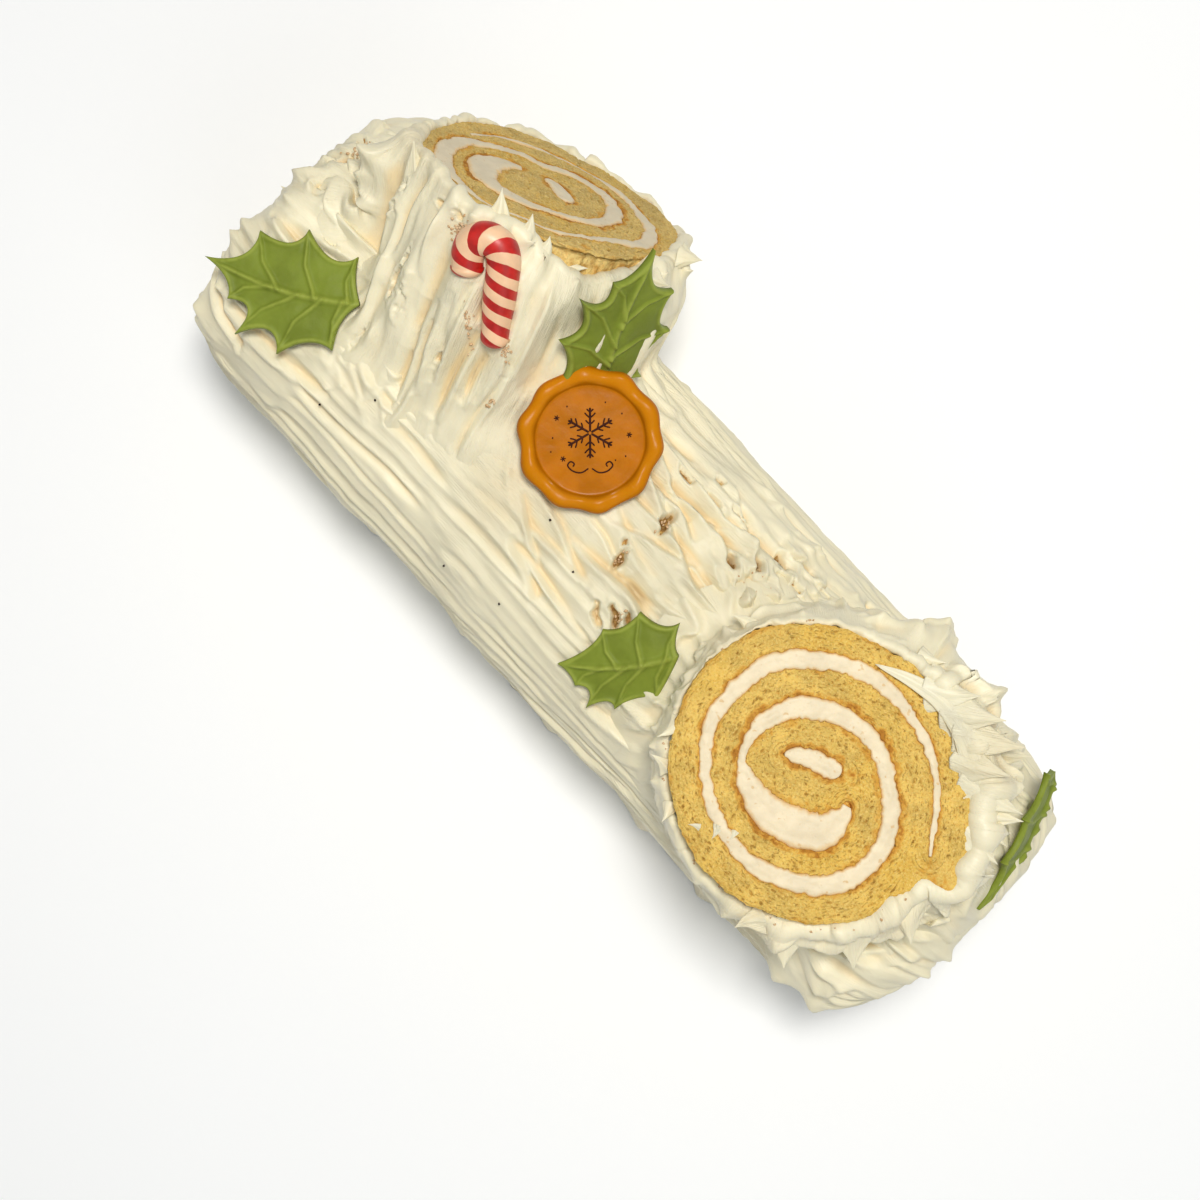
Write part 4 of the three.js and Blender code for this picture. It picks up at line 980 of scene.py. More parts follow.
def curl(heap, path, width, thick, seed):
    """A tip of frosting drawn out by the spatula. Its section, an ellipse with a sharp crest on top, shrinks
    along the path as (1 - s)^0.8, or ^1.3 for a short tip, and is carried by the path's direction."""
    line = curve_through(path, 34)
    s = np.linspace(0, 1, len(line))[:, None]
    way = unit(np.gradient(line, axis=0))
    side = unit(np.cross(way, np.array([0.0, 0.0, 1.0]) + 1e-3))
    up = np.cross(side, way)
    turn = np.linspace(0, 2 * math.pi, 26, endpoint=False)[None, :]
    shrink = np.maximum(1 - s, 0.0) ** (0.8 if len(path) > 3 else 1.3) + 0.012
    wave = 1 + 0.16 * noise(turn * 1.4, s * 3 + seed, seed) + 0.1 * np.cos(5 * turn + 3 * seed)
    crest = 1 + 0.5 * np.exp(-(((turn - math.pi / 2) / 0.35) ** 2))
    across = width * shrink * wave * np.cos(turn)
    rise = thick * shrink * wave * np.sin(turn) * crest
    points = line[:, None, :] + across[..., None] * side[:, None, :] + rise[..., None] * up[:, None, :]
    # a cavity of -0.4 keeps the creases' warm tint and painted shade off the tips
    heap.add(*closed_tube(points), cavity=-0.4, bare=0.0,
             flow_t=np.concatenate([(s * 12 + 0 * turn).ravel(), [0.0, 1.0]]) + 31 * seed,
             flow_n=np.concatenate([across.ravel(), [0.0, 0.0]]))


# Tips: points of a path from foot to tip, half width and half thickness at the foot.
TIPS = (
    (((-98.0, 35, 124), (-99.6, 40.6, 131), (-103.0, 45.4, 135.2)), 7.6, 4.4),
    (((-89.6, 38, 126), (-90.0, 43.0, 130.6), (-92.4, 47.0, 132.8)), 6.6, 3.8),
    (((-105, 33, 122), (-106.5, 36.5, 127), (-108.4, 38.0, 128.5)), 6.6, 3.4),
    (((-84, 41, 125), (-83.6, 44, 128.5), (-85.0, 46.6, 129.5)), 5.0, 2.8),
    (((-120, 30, 101), (-126.0, 32, 117), (-132.0, 37.4, 125)), 12.0, 7.5),
    (((-77, 43, 119), (-74.5, 46.5, 121), (-72, 49, 121.5)), 3.4, 1.5),
    (((-60, 62, 105), (-56, 63, 107.5), (-53.5, 64, 109.5)), 4.4, 1.9),
    (((-59, 74, 97), (-55.5, 76, 99), (-53, 77.5, 100.5)), 4.0, 1.8),
    (((121, 13, 112), (114.6, 26.5, 119.5), (102.4, 35.2, 123.2), (89, 37.6, 124), (77.5, 35.4, 123.6),
      (66.5, 31, 123.2)), 7.4, 2.2),
    (((112, 30, 113), (116.5, 35, 116), (119, 41, 117)), 6.4, 3.2),
    (((119, 18, 113), (125, 22, 116.5), (131.5, 23, 117)), 6.6, 3.4),
    (((122, 5, 112), (127.5, 7.5, 115), (132, 12, 115.5)), 6.0, 3.2),
    (((122, -9, 111), (127, -9, 113.5), (131.5, -6.5, 114)), 5.8, 3.0),
    (((38, 13, 106), (33.5, 13, 109.5), (28.5, 11.5, 110)), 4.6, 2.0),
    (((39, 3, 107), (35.5, 1.0, 109.5), (32, -2.0, 109)), 4.0, 1.8),
    (((-148, -14, 88), (-152.5, -15, 90), (-156.5, -16.5, 89.5)), 4.2, 1.8),
    (((-149, 2, 89), (-153.5, 2.5, 91), (-157.5, 2, 90)), 4.4, 1.8),
)

# Tips round the crown slice: degrees and radius at the foot, at the tip, height over the cut there and there,
# half width, half thickness.
CROWN_TIPS = (
    (38, 39, 27, 50, -2.0, 4.0, 8.0, 3.6), (27, 41, 17, 54, -2.5, 4.6, 9.0, 4.4), (16, 41, 8, 58, -3, 3.4, 9.6, 4.8),
    (6, 41, 0, 53, -3, 5.0, 8.0, 4.0), (-4, 42, -11, 58, -5, 2.0, 9.0, 4.6), (-14, 43, -13, 59, -6.5, 0.0, 8.6, 4.4),
    (-21, 44, -27, 56, -5.5, 1.0, 8.6, 4.2), (8, 50, 4, 62, -13, -9, 7.4, 4.0),
    (-54, 44, -62, 56, -8.0, -6.0, 9.0, 4.0),
    (-76, 43, -80, 58, -9, -9.0, 12.0, 4.8), (-104, 43, -100, 58, -11, -10, 12, 4.6),
    (28, 48, 22, 53, -8, -5, 3.4, 2.0), (50, 44, 42, 48, -3.5, -0.5, 3.2, 1.8),
    (-112, 45, -119, 51, -8, -6, 4.6, 2.2), (160, 43, 167, 48.5, -4.0, 0.5, 3.2, 1.6),
    (178, 44, 173, 49.5, -5.0, -1.0, 2.8, 1.5), (192, 44, 197, 48, -7.0, -4.0, 2.6, 1.4),
    (206, 33, 210, 36.5, -0.2, 0.5, 1.7, 0.9), (213, 29.5, 215, 32.5, -0.2, 0.4, 1.2, 0.7),
    (203, 38, 200, 41, -0.2, 0.4, 1.0, 0.6),
)


def pulled_tips():
    """All the tips in one mesh."""
    heap = Heap()
    for number, (path, width, thick) in enumerate(TIPS):
        curl(heap, path, width, thick, float(number))
    for number, (a, r, b, t, low, high, width, thick) in enumerate(CROWN_TIPS):
        turn = np.radians([a, 0.4 * a + 0.6 * b, b])
        reach = np.array([r, 0.55 * r + 0.45 * t, t])
        lift = np.array([low, 0.3 * low + 0.7 * high, high])
        curl(heap, round_face(CROWN, reach, turn, lift), width, thick, 20.0 + number)
    return heap.made()
# ------------------------------------------------------------------ materials


class Paint:
    """A material under construction: a Principled surface and the nodes that feed it."""

    def __init__(self, name):
        self.material = bpy.data.materials.new(name)
        self.material.use_nodes = True
        self.tree = self.material.node_tree
        self.tree.nodes.clear()
        self.surface = self.tree.nodes.new("ShaderNodeBsdfPrincipled")
        output = self.tree.nodes.new("ShaderNodeOutputMaterial")
        self.tree.links.new(self.surface.outputs["BSDF"], output.inputs["Surface"])
        self.place = self.tree.nodes.new("ShaderNodeTexCoord").outputs["Object"]
        self.relief = {}

    def fill(self, node, inputs):
        """Links each input of a node, or sets a number or colour on the socket itself."""
        for name, value in inputs.items():
            socket = node.inputs[name]
            if isinstance(value, bpy.types.NodeSocket):
                self.tree.links.new(value, socket)
            else:
                socket.default_value = (*value, 1.0) if socket.type == "RGBA" else value

    def node(self, kind, inputs, output=0, **settings):
        node = self.tree.nodes.new("ShaderNode" + kind)
        for name, value in settings.items():
            setattr(node, name, value)
        self.fill(node, inputs)
        return node.outputs[output]

    def value(self, name):
        """A number kept at each point of the mesh."""
        return self.node("Attribute", {}, "Fac", attribute_name=name)

    def maths(self, operation, *inputs):
        return self.node("Math", dict(enumerate(inputs)), operation=operation)

    def rescaled(self, value, low, high, to_low=0.0, to_high=1.0):
        inputs = dict(enumerate((value, low, high, to_low, to_high)))
        return self.node("MapRange", inputs, interpolation_type="SMOOTHSTEP")

    def joined(self, *inputs):
        return self.node("CombineXYZ", dict(enumerate(inputs)))

    def noise(self, scale, detail=3.0, rough=0.5, at=None):
        """Cloudy noise, with scale in bumps per metre on Object coordinates."""
        inputs = {"Scale": scale, "Detail": detail, "Roughness": rough, "Vector": at or self.place}
        return self.node("TexNoise", inputs, "Fac")

    def cells(self, scale):
        return self.node("TexVoronoi", {"Scale": scale, "Vector": self.place}, "Distance")

    def mixed(self, share, first, second):
        inputs = {"Factor": share, "A": first, "B": second}
        return self.node("Mix", inputs, "Result", data_type="RGBA", clamp_factor=True)

    def mottled(self, cloud, low, high, colour, dark, light):
        """A colour that goes from a darker to a lighter shade of itself as a cloud's value rises."""
        return self.mixed(self.rescaled(cloud, low, high), shade(colour, dark), shade(colour, light))

    def uneven(self, value, cloud, share):
        """A value with a cloud's added to it: value + share * (cloud - 1/2)."""
        return self.maths("ADD", value, self.maths("MULTIPLY", self.maths("SUBTRACT", cloud, 0.5), share))

    def bump(self, height, distance, strength=1.0):
        """Adds a fine relief of the given depth in metres on top of those already there."""
        inputs = {"Strength": strength, "Distance": distance, "Height": height, **self.relief}
        self.relief = {"Normal": self.node("Bump", inputs, "Normal")}

    def finish(self, colour, roughness, soft=None, **others):
        """The material, with light spread under its surface by soft: how much, how far in m, and its scale."""
        if soft:
            others.update(zip(("Subsurface_Weight", "Subsurface_Radius", "Subsurface_Scale"), soft))
        named = {name.replace("_", " "): value for name, value in others.items()}
        self.fill(self.surface, {"Base Color": colour, "Roughness": roughness, **named, **self.relief})
        return self.material


def shade(colour, factor):
    """A colour times a factor, or times one for each channel."""
    return tuple(min(1.0, float(channel)) for channel in np.array(colour) * factor)


def buttercream(settings):
    """Whipped buttercream: ivory, warmer in its creases, partly where it lies thin over the sponge and partly as
    painted shade, and darker as painted shade where they are deep, with fine drag lines along the spatula's strokes,
    small air pits, and bare crumb where it tore, darkened by painted shade in deep hollows."""
    paint = Paint("buttercream")
    thick, thin, cavity = settings.colour, settings.thin_and_crease_shade_colour, paint.value("cavity")
    clouds = paint.noise(46, 3, 0.55)
    patches = paint.rescaled(paint.noise(17, 2), 0.52, 0.74)
    colour = paint.mottled(clouds, 0.35, 0.7, thick, 0.97, 1.05)
    colour = paint.mixed(paint.maths("MULTIPLY", patches, 0.28), colour, shade(thin, 1.06))
    depth = paint.uneven(cavity, clouds, 0.7)
    # creases: towards the thin colour, partly frosting lying thin over the sponge and partly painted shade
    colour = paint.mixed(paint.rescaled(depth, 0.15, 1.7, 0.0, 0.66), colour, thin)
    # painted shade: deep creases darker still
    colour = paint.mixed(paint.rescaled(depth, 1.5, 3.0, 0.0, 0.5), colour, shade(thin, 0.62))
    crumb = paint.mixed(paint.rescaled(paint.noise(900, 3, 0.6), 0.4, 0.62), (0.66, 0.43, 0.14), (0.36, 0.17, 0.04))
    # painted shade: the bare crumb darker where it lies deep in a hollow
    crumb = paint.mixed(paint.rescaled(cavity, 1.2, 2.8, 0.0, 0.6), crumb, (0.24, 0.12, 0.03))
    torn = paint.rescaled(paint.uneven(paint.value("bare"), paint.noise(700, 2), 0.9), 0.3, 0.75)
    flow = paint.joined(paint.maths("MULTIPLY", paint.value("flow_t"), 0.09), paint.value("flow_n"))
    lines = paint.noise(2.6, 4, 0.62, flow)
    combed = paint.rescaled(paint.noise(34, 2), 0.4, 0.66, 0.25, 1.0)
    paint.bump(paint.maths("MULTIPLY", lines, combed), 0.0008, 0.7)
    paint.bump(paint.rescaled(paint.cells(520), 0.0, 0.22), 0.0003, 0.25)
    paint.bump(paint.noise(330), 0.0005, 0.3)
    rough = paint.maths("MAXIMUM", paint.rescaled(lines, 0.2, 0.8, 0.36, 0.5), paint.maths("MULTIPLY", torn, 0.85))
    return paint.finish(paint.mixed(torn, colour, crumb), rough, (0.12, (0.004, 0.003, 0.0018), 0.6),
                        Specular_IOR_Level=0.48)


# ------------------------------------------------------------------ cut rolls

CUT_GRID = 271
SPIRAL_POINTS = 1100
GROOVE = 2.4
FILLING_RISE = 0.35
FILLING_DEPTH = 3.4


def disc_grid(count):
    """Points of a unit disc on a square grid. The larger of |u| and |v| is the distance from the middle, and the
    angle runs evenly along each side of that square: pi / 4 * v / u, or pi / 2 - pi / 4 * u / v."""
    axis = np.linspace(-1, 1, count)
    u, v = np.meshgrid(axis, axis, indexing="ij")
    wide = np.abs(u) >= np.abs(v)
    ring = np.where(wide, u, v)
    ratio = np.where(wide, v, u) / np.where(ring == 0, 1.0, ring)
    angle = np.where(wide, math.pi / 4 * ratio, math.pi / 2 - math.pi / 4 * ratio)
    return (ring * np.cos(angle)).ravel(), (ring * np.sin(angle)).ravel()


def spiral_line(radius, spiral):
    """The middle line of the spiral of filling, as (x, y, half thickness) in mm at even steps."""
    angle, reach, half = np.array(spiral, dtype=float).T
    angle = np.radians(angle)
    knots = np.stack([reach * np.cos(angle), reach * np.sin(angle), half], axis=1) * radius
    return curve_through(knots, SPIRAL_POINTS, measured=2)


def heart_line(radius, heart):
    """The middle line of the island of filling at the roll's heart: a short bent sausage, thicker at one end."""
    c, s = heading(heart["tilt"])
    (x, y), (long_half, wide_half) = heart["at"], heart["half"]
    u = np.linspace(-1, 1, 70)
    run = (long_half - 0.6 * wide_half) * radius * u
    bow = 0.5 * wide_half * radius * (1 - u * u)
    half = wide_half * radius * (0.92 + 0.2 * u) * np.sqrt(1 - 0.97 * np.abs(u) ** 5)
    return np.stack([x * radius + run * c - bow * s, y * radius + run * s + bow * c, half], axis=1)


def lengths_along(line):
    """The sum of a flat line's steps up to each of its points."""
    return np.concatenate([[0.0], np.cumsum(np.hypot(*np.diff(line[:, :2], axis=0).T))])


def across_of(line):
    """Unit vectors to the right of a flat line's direction."""
    way = unit(np.gradient(line[:, :2], axis=0))
    return np.stack([way[:, 1], -way[:, 0]], axis=1)


def outward_of(line):
    """Unit vectors across a line that point away from the middle of the face."""
    across = across_of(line)
    return across if np.sum(line[:, :2] * across) > 0 else -across


def edge_half(line, side, seed):
    """Half thickness of the filling on one side of its middle line: uneven, because crumbs bite into it."""
    arc = lengths_along(line)
    wave = 0.42 * noise(arc / 2.7, arc * 0 + 3 * side, seed) + 0.26 * noise(arc / 1.05, arc * 0 + 7 * side, seed)
    return np.maximum(line[:, 2] + wave * np.minimum(1.0, line[:, 2] / 1.3), 0.22)


def past_filling(x, y, lines, seed):
    """For places on a cut face: how far each lies past the edge of the nearest filling, the side of it, 1 away
    from the middle and -1 towards it, and the length along that filling. Taken in batches of places."""
    gap, side, along = np.full(x.shape, 1e9), np.zeros(x.shape), np.zeros(x.shape)
    for number, line in enumerate(lines):
        arc, across = lengths_along(line), outward_of(line)
        outer, inner = (edge_half(line, turn, seed + number) for turn in (1, -1))
        for part in np.array_split(np.arange(x.size), 24):
            dx, dy = x[part, None] - line[None, :, 0], y[part, None] - line[None, :, 1]
            square = dx * dx + dy * dy
            k = square.argmin(axis=1)
            row = np.arange(len(part))
            turn = np.where(dx[row, k] * across[k, 0] + dy[row, k] * across[k, 1] > 0, 1, -1)
            own = np.sqrt(square[row, k]) - np.where(turn > 0, outer[k], inner[k])
            nearer = own < gap[part]
            spot = part[nearer]
            gap[spot], side[spot], along[spot] = own[nearer], turn[nearer], arc[k][nearer] + 500 * number
    return gap, side, along


def pores_in(x, y, radius, count, draw):
    """Depth of the large pores at each place: count hollows exp(-(t / a)^2 + (n / b)^2)^1.4 that lie along the
    layers, of which the deepest counts."""
    pore = np.zeros_like(x)
    for _ in range(count):
        at, way = math.sqrt(draw.uniform(0.01, 0.98)), draw.uniform(0, 2 * math.pi)
        px, py = at * radius * math.cos(way), at * radius * math.sin(way)
        lay = way + math.pi / 2 + draw.normal(0, 0.35)
        long_half, wide_half = 0.25 + 0.9 * draw.random() ** 3, draw.uniform(0.2, 0.36)
        depth = draw.uniform(0.4, 1.0) * min(1.0, 0.5 + long_half)
        near = np.flatnonzero((np.abs(x - px) < 2) & (np.abs(y - py) < 2))
        dx, dy = x[near] - px, y[near] - py
        t, n = math.cos(lay) * dx + math.sin(lay) * dy, math.cos(lay) * dy - math.sin(lay) * dx
        hollow = np.exp(-((t / long_half) ** 2 + (n / wide_half) ** 2) ** 1.4)
        pore[near] = np.maximum(pore[near], depth * hollow)
    return pore


def cut_sponge(face, edge, lines, pores, seed, crust_spots):
    """A cut piece of Swiss roll: a fine grid over the cut face, with small pores that lie along the layers and a
    groove where the filling runs, and the roll's side down to the depth. Points, faces and the values that the
    crumb's material reads: how browned, how deep in a pore, how far past the filling, how far along it, and
    whether on the side."""
    radius, count = face["radius"], CUT_GRID
    u, v = disc_grid(count)
    ring, angle = np.hypot(u, v), np.arctan2(v, u)
    degrees = np.degrees(angle)
    rim = radius * around(edge, degrees) + 0.3 * noise(degrees / 5, degrees * 0, seed)
    rim = rim + 0.22 * noise(degrees / 1.6, degrees * 0, seed + 1)
    reach = radius * ring + (rim - radius) * ring**3
    x, y = reach * np.cos(angle), reach * np.sin(angle)
    gap, side, along = past_filling(x, y, lines, seed)
    height = 0.42 * noise(x / 9, y / 9, seed + 2) + 0.16 * noise(x / 1.7, y / 1.5, seed + 3)
    height += 0.1 * noise(x / 0.7, y / 0.7, seed + 4)
    pore = pores_in(x, y, radius, pores, np.random.default_rng(seed))
    pore *= ease((gap - 0.1) / 0.5) * ease((1 - ring) / 0.012)
    height -= pore + GROOVE * ease((0.12 - gap) / 0.4) * ease((1 - ring) / 0.03)
    height -= 0.7 * ease((ring - 0.975) / 0.025) ** 2
    inner = ease((along - 180) / 30)
    thick = 0.5 + 0.7 * inner + (0.5 + 0.4 * inner) * noise(along / 2.2, side * 3, seed + 5)
    strength = np.where(side > 0, 0.7 + 0.4 * inner, 0.4) + 0.4 * noise(along / 6, side * 3, seed + 6)
    crust = np.clip(strength + 0.4 * (along >= 500), 0, 1.2) * ease((thick + 1.3 - gap) / 1.9)
    crust = np.maximum(crust, 0.6 * ease((ring - 0.95) / 0.045) * (0.5 + 0.6 * noise(degrees / 9, ring, seed)))
    for spot_degrees, share, size in crust_spots:
        spot_x, spot_y = share * radius * heading(spot_degrees)
        away = (x - spot_x) ** 2 + (y - spot_y) ** 2
        crust = np.maximum(crust, 1.3 * np.exp(-away / size**2) * (0.6 + 0.6 * noise(x / 1.1, y / 1.1, seed + 9)))

    last, step = count - 1, np.arange(count - 1)
    border = np.concatenate([step * count, last * count + step, (last - step) * count + last, last - step])
    down = np.linspace(0, 1, 15)[1:, None] ** 1.3
    side_reach = rim[border] * (1 - 0.02 * down) + 0.35 * noise(degrees[border] / 4, down * 14, seed + 8)
    side_reach = side_reach - 0.9 * (down > 0.99)
    drop = -0.7 - (face["depth"] - 0.7) * down + 0 * side_reach
    wall = round_face(face, side_reach, angle[border], drop)
    points = np.vstack([in_frame(face, x, y, height), wall.reshape(-1, 3), wall[-1].mean(axis=0)])
    quads = grid_faces(count, count, False)
    rows = np.vstack([border, x.size + np.arange(drop.size).reshape(drop.shape)])
    after = np.roll(rows, -1, axis=1)
    side_quads = np.stack([rows[:-1], after[:-1], after[1:], rows[1:]], axis=-1).reshape(-1, 4)
    cap = fan_faces(rows[-1], len(points) - 1, False)
    a, b, c = (points[quads[:, k]] for k in range(3))
    if np.sum(np.cross(b - a, c - a) @ axes_of(face)[3]) < 0:
        quads = quads[:, ::-1]
    if enclosed(points, side_quads, cap) < 0:
        side_quads, cap = side_quads[:, ::-1], cap[:, ::-1]
    values = {"crust": (crust, 0), "pore": (pore, 0), "side": (0 * x, 1), "gap": (np.clip(gap, -3, 9), 9),
              "along": (along, 0)}
    values = {name: np.append(top, np.full(drop.size + 1, float(low))) for name, (top, low) in values.items()}
    return points, np.vstack([quads, side_quads]), cap, values


def filling_ribbon(face, line, seed):
    """The filling as a ribbon laid along its middle line: its cross-section is a low dome between two uneven
    edges, and goes straight down below the cut on both sides."""
    arc, across = lengths_along(line)[:, None], outward_of(line)
    outer, inner = edge_half(line, 1, seed)[:, None], edge_half(line, -1, seed)[:, None]
    u = np.linspace(-1, 1, 15)
    share = np.maximum(u, 0) * outer + np.minimum(u, 0) * inner
    dome = FILLING_RISE * (1 - np.abs(u) ** 3.2) * np.minimum(1.0, (outer + inner) / 3.0)
    soft = 0.26 * noise(arc / 6, share / 1.6, seed + 2) + 0.12 * noise(arc / 1.6, share, seed + 3)
    height = dome + soft * (1 - 0.6 * u**2) - 0.32 * (np.abs(u) > 0.99)
    below = np.array([-1.4, -FILLING_DEPTH, -FILLING_DEPTH, -1.4])
    offset = np.hstack([share, outer, outer * 0.9, -inner * 0.9, -inner])
    level = np.hstack([height, np.broadcast_to(below, (len(line), 4))])
    flat = line[:, None, :2] + offset[..., None] * across[:, None, :]
    edge = np.broadcast_to(np.append(np.abs(u), np.ones(4)), offset.shape)
    return *closed_tube(in_frame(face, flat[..., 0], flat[..., 1], level)), np.append(edge, [1.0, 1.0])


def add_cut_roll(name, face, edge, spiral, heart, slots, materials, pores, seed, spots):
    lines = (spiral_line(face["radius"], spiral), heart_line(face["radius"], heart))
    *shape, values = cut_sponge(face, edge, lines, pores, seed, spots)
    new_piece(f"{name}_sponge_cut", *shape, materials[0], slots[0], (f"{name}_sponge",), values)
    heap = Heap()
    for number, line in enumerate(lines):
        *shape, rim = filling_ribbon(face, line, seed + number)
        heap.add(*shape, rim=rim)
    *shape, values = heap.made()
    nodes = (f"{name}_cream", f"{name}_cream_heart")
    new_piece(f"{name}_filling", *shape, materials[1], slots[1], nodes, values)


def crumb(name, colour, crust):
    """Swiss roll crumb: fine uneven grain, painted shade that darkens its pores and slits, browned along the
    filling, golden on the roll's side."""
    paint = Paint(name)
    fine, patches = paint.noise(1500, 3, 0.65), paint.noise(130, 3, 0.55)
    mixed = paint.mottled(patches, 0.32, 0.68, colour, 0.86, 1.12)
    broad = paint.rescaled(paint.noise(48, 2), 0.45, 0.7, 0.0, 0.55)
    mixed = paint.mixed(broad, mixed, shade(colour, (1.04, 0.96, 0.62)))
    mixed = paint.mixed(paint.rescaled(fine, 0.5, 0.72), mixed, shade(colour, (1.16, 1.22, 1.6)))
    mixed = paint.mixed(paint.rescaled(fine, 0.46, 0.3, 0.0, 0.55), mixed, shade(crust, 1.25))
    layers = paint.joined(paint.maths("MULTIPLY", paint.value("along"), 0.75),
                          paint.maths("MULTIPLY", paint.value("gap"), 2.0), paint.maths("MULTIPLY", patches, 4.0))
    slits = paint.rescaled(paint.noise(1.0, 3, 0.55, layers), 0.56, 0.7)
    # painted shade: the slits along the layers, dented by the first bump, darker
    mixed = paint.mixed(paint.maths("MULTIPLY", slits, 0.5), mixed, shade(colour, (0.6, 0.46, 0.25)))
    # painted shade: darker the deeper a place lies in a pore
    pore = paint.rescaled(paint.value("pore"), 0.12, 0.7, 0.0, 0.72)
    mixed = paint.mixed(pore, mixed, shade(colour, (0.5, 0.38, 0.25)))
    ragged = paint.maths("MULTIPLY", paint.value("crust"), paint.rescaled(paint.noise(520, 2), 0.3, 0.6, 0.35, 1.1))
    mixed = paint.mixed(paint.rescaled(ragged, 0.05, 0.7, 0.0, 0.75), mixed, shade(crust, (1.5, 1.9, 2.0)))
    mixed = paint.mixed(paint.rescaled(ragged, 0.62, 1.2, 0.0, 0.8), mixed, shade(crust, 0.95))
    golden = paint.mixed(paint.rescaled(paint.noise(420), 0.3, 0.62), (0.52, 0.27, 0.06), (0.90, 0.66, 0.25))
    mixed = paint.mixed(paint.maths("MULTIPLY", paint.value("side"), 0.85), mixed, golden)
    paint.bump(paint.maths("SUBTRACT", 1.0, slits), 0.0006, 0.6)
    paint.bump(fine, 0.0009, 0.7)
    paint.bump(paint.cells(1150), 0.0005, 0.35)
    return paint.finish(mixed, 0.86, (0.1, (0.003, 0.0016, 0.0006), 0.5), Specular_IOR_Level=0.2)


def roll_cream(name, colour):
    """Whipped filling in the cut: ivory with faint clouds, drag marks of the knife and a few crumbs in it."""
    paint = Paint(name)
    mixed = paint.mottled(paint.noise(160), 0.3, 0.7, colour, 0.95, 1.06)
    worn = paint.maths("ADD", paint.value("rim"), paint.maths("MULTIPLY", paint.noise(520, 2), 0.5))
    mixed = paint.mixed(paint.rescaled(worn, 0.92, 1.25, 0.0, 0.7), mixed, (0.78, 0.50, 0.20))
    crumbs = paint.rescaled(paint.noise(560, 1, 0.4), 0.68, 0.76, 0.0, 0.7)
    mixed = paint.mixed(crumbs, mixed, shade(colour, (0.86, 0.66, 0.42)))
    paint.bump(paint.noise(420, 4, 0.6), 0.0006, 0.4)
    paint.bump(paint.rescaled(paint.cells(900), 0.0, 0.25), 0.0003, 0.3)
    return paint.finish(mixed, 0.5, (0.14, (0.004, 0.003, 0.002), 0.6), Specular_IOR_Level=0.4)


class YULE_OT_cut_rolls(bpy.types.Operator):
    """Makes the two cut faces of Swiss roll with their spirals of filling"""

    bl_idname = "yule.cut_rolls"
    bl_label = "Cut the Rolls"

    def execute(self, context):
        settings = context.scene.yule_roll
        cream = settings.filling_colour
        crown = (crumb("crown_crumb", settings.sponge_colour, settings.crust_colour),
                 roll_cream("crown_filling_cream", cream))
        branch = (crumb("branch_crumb", settings.branch_colour, settings.crust_colour),
                  roll_cream("branch_filling_cream", shade(cream, 0.9)))
        add_cut_roll("crown", CROWN, CROWN_EDGE, CROWN_SPIRAL, CROWN_HEART, ("sponge", "filling"), crown,
                     settings.pores, 31, ((-44, 1.06, 3.2), (-41, 0.93, 2.6), (-3, 0.2, 2.4)))
        add_cut_roll("branch", BRANCH, BRANCH_EDGE, BRANCH_SPIRAL, BRANCH_HEART, ("branch_sponge", "branch_filling"),
                     branch, settings.pores, 53, ((-118, 1.0, 2.6), (-149, 1.0, 3.0), (-60, 0.86, 2.0)))
        return {"FINISHED"}


# ------------------------------------------------------------------ decorations

CANE = {
    "centre": (-75.7, 15.6, 121.0),
    "x": (0.779, 0.614, 0.131),
    "y": (-0.595, 0.656, 0.4655),
    "path": ((0, 0.6), (0.7, 10.4), (1.5, 19.4), (1.6, 24), (0.1, 27.7), (-3.6, 29.4), (-7.4, 27.8), (-8.8, 24.4),
             (-8.8, 20.8)),
}
SEAL = {"centre": (-37.0, 16.6, 104.0), "normal": (0.11, -0.08, 1.0), "radius": 21.2, "scallops": 10}
SEAL_SECTION = (
    (0.02, 0.0), (0.5, 0.0), (0.9, 0.0), (0.955, 0.35), (0.99, 1.3), (1.0, 2.4), (0.99, 3.4), (0.965, 4.2),
    (0.92, 4.75), (0.87, 4.85), (0.825, 4.6), (0.79, 4.15), (0.77, 3.55), (0.755, 3.22), (0.72, 3.15),
    (0.5, 3.2), (0.25, 3.25), (0.02, 3.25),
)
# Dots and stars round the printed snowflake: (degrees, distance from the middle, size; stars are over 0.4).
PRINTED_DOTS = (
    (8, 11.6, 0.5), (40, 12.2, 0.34), (68, 12.0, 0.3), (124, 12.0, 0.34), (146, 11.8, 0.5), (176, 11.0, 0.34),
    (196, 12.0, 0.3), (214, 9.6, 0.5), (336, 11.4, 0.34), (322, 9.4, 0.3),
)
PRINTED_CURL = ((0.5, -8.2), (2.6, -9.4), (5.0, -9.0), (6.6, -7.4), (5.8, -6.2), (4.7, -6.8), (5.1, -7.7))
PRINT_LEVEL = 3.3
# A leaf's two edges: its spikes (place of the vein's root, tip along and across) and the hollows round them.
BROAD_LEAF = {
    "left": (((0.557, 0.79, 0.203), (0.37, 0.69, 0.393), (0.223, 0.41, 0.43), (0.1, 0.09, 0.31)),
             ((0.84, 0.085), (0.655, 0.226), (0.5, 0.31), (0.247, 0.31), (0.08, 0.13))),
    "right": (((0.5, 0.717, -0.247), (0.27, 0.435, -0.34), (0.07, 0.1, -0.27)),
              ((0.78, -0.075), (0.526, -0.23), (0.25, -0.215), (0.07, -0.13))),
}
SHORT_LEAF = {
    "left": (((0.62, 0.88, 0.19), (0.42, 0.82, 0.385), (0.26, 0.58, 0.41), (0.1, 0.22, 0.34)),
             ((0.92, 0.08), (0.77, 0.24), (0.64, 0.34), (0.4, 0.33), (0.09, 0.15))),
    "right": (((0.5, 0.59, -0.26), (0.3, 0.28, -0.37), (0.1, -0.03, -0.26)),
              ((0.74, -0.11), (0.44, -0.26), (0.12, -0.25), (0.02, -0.1))),
}
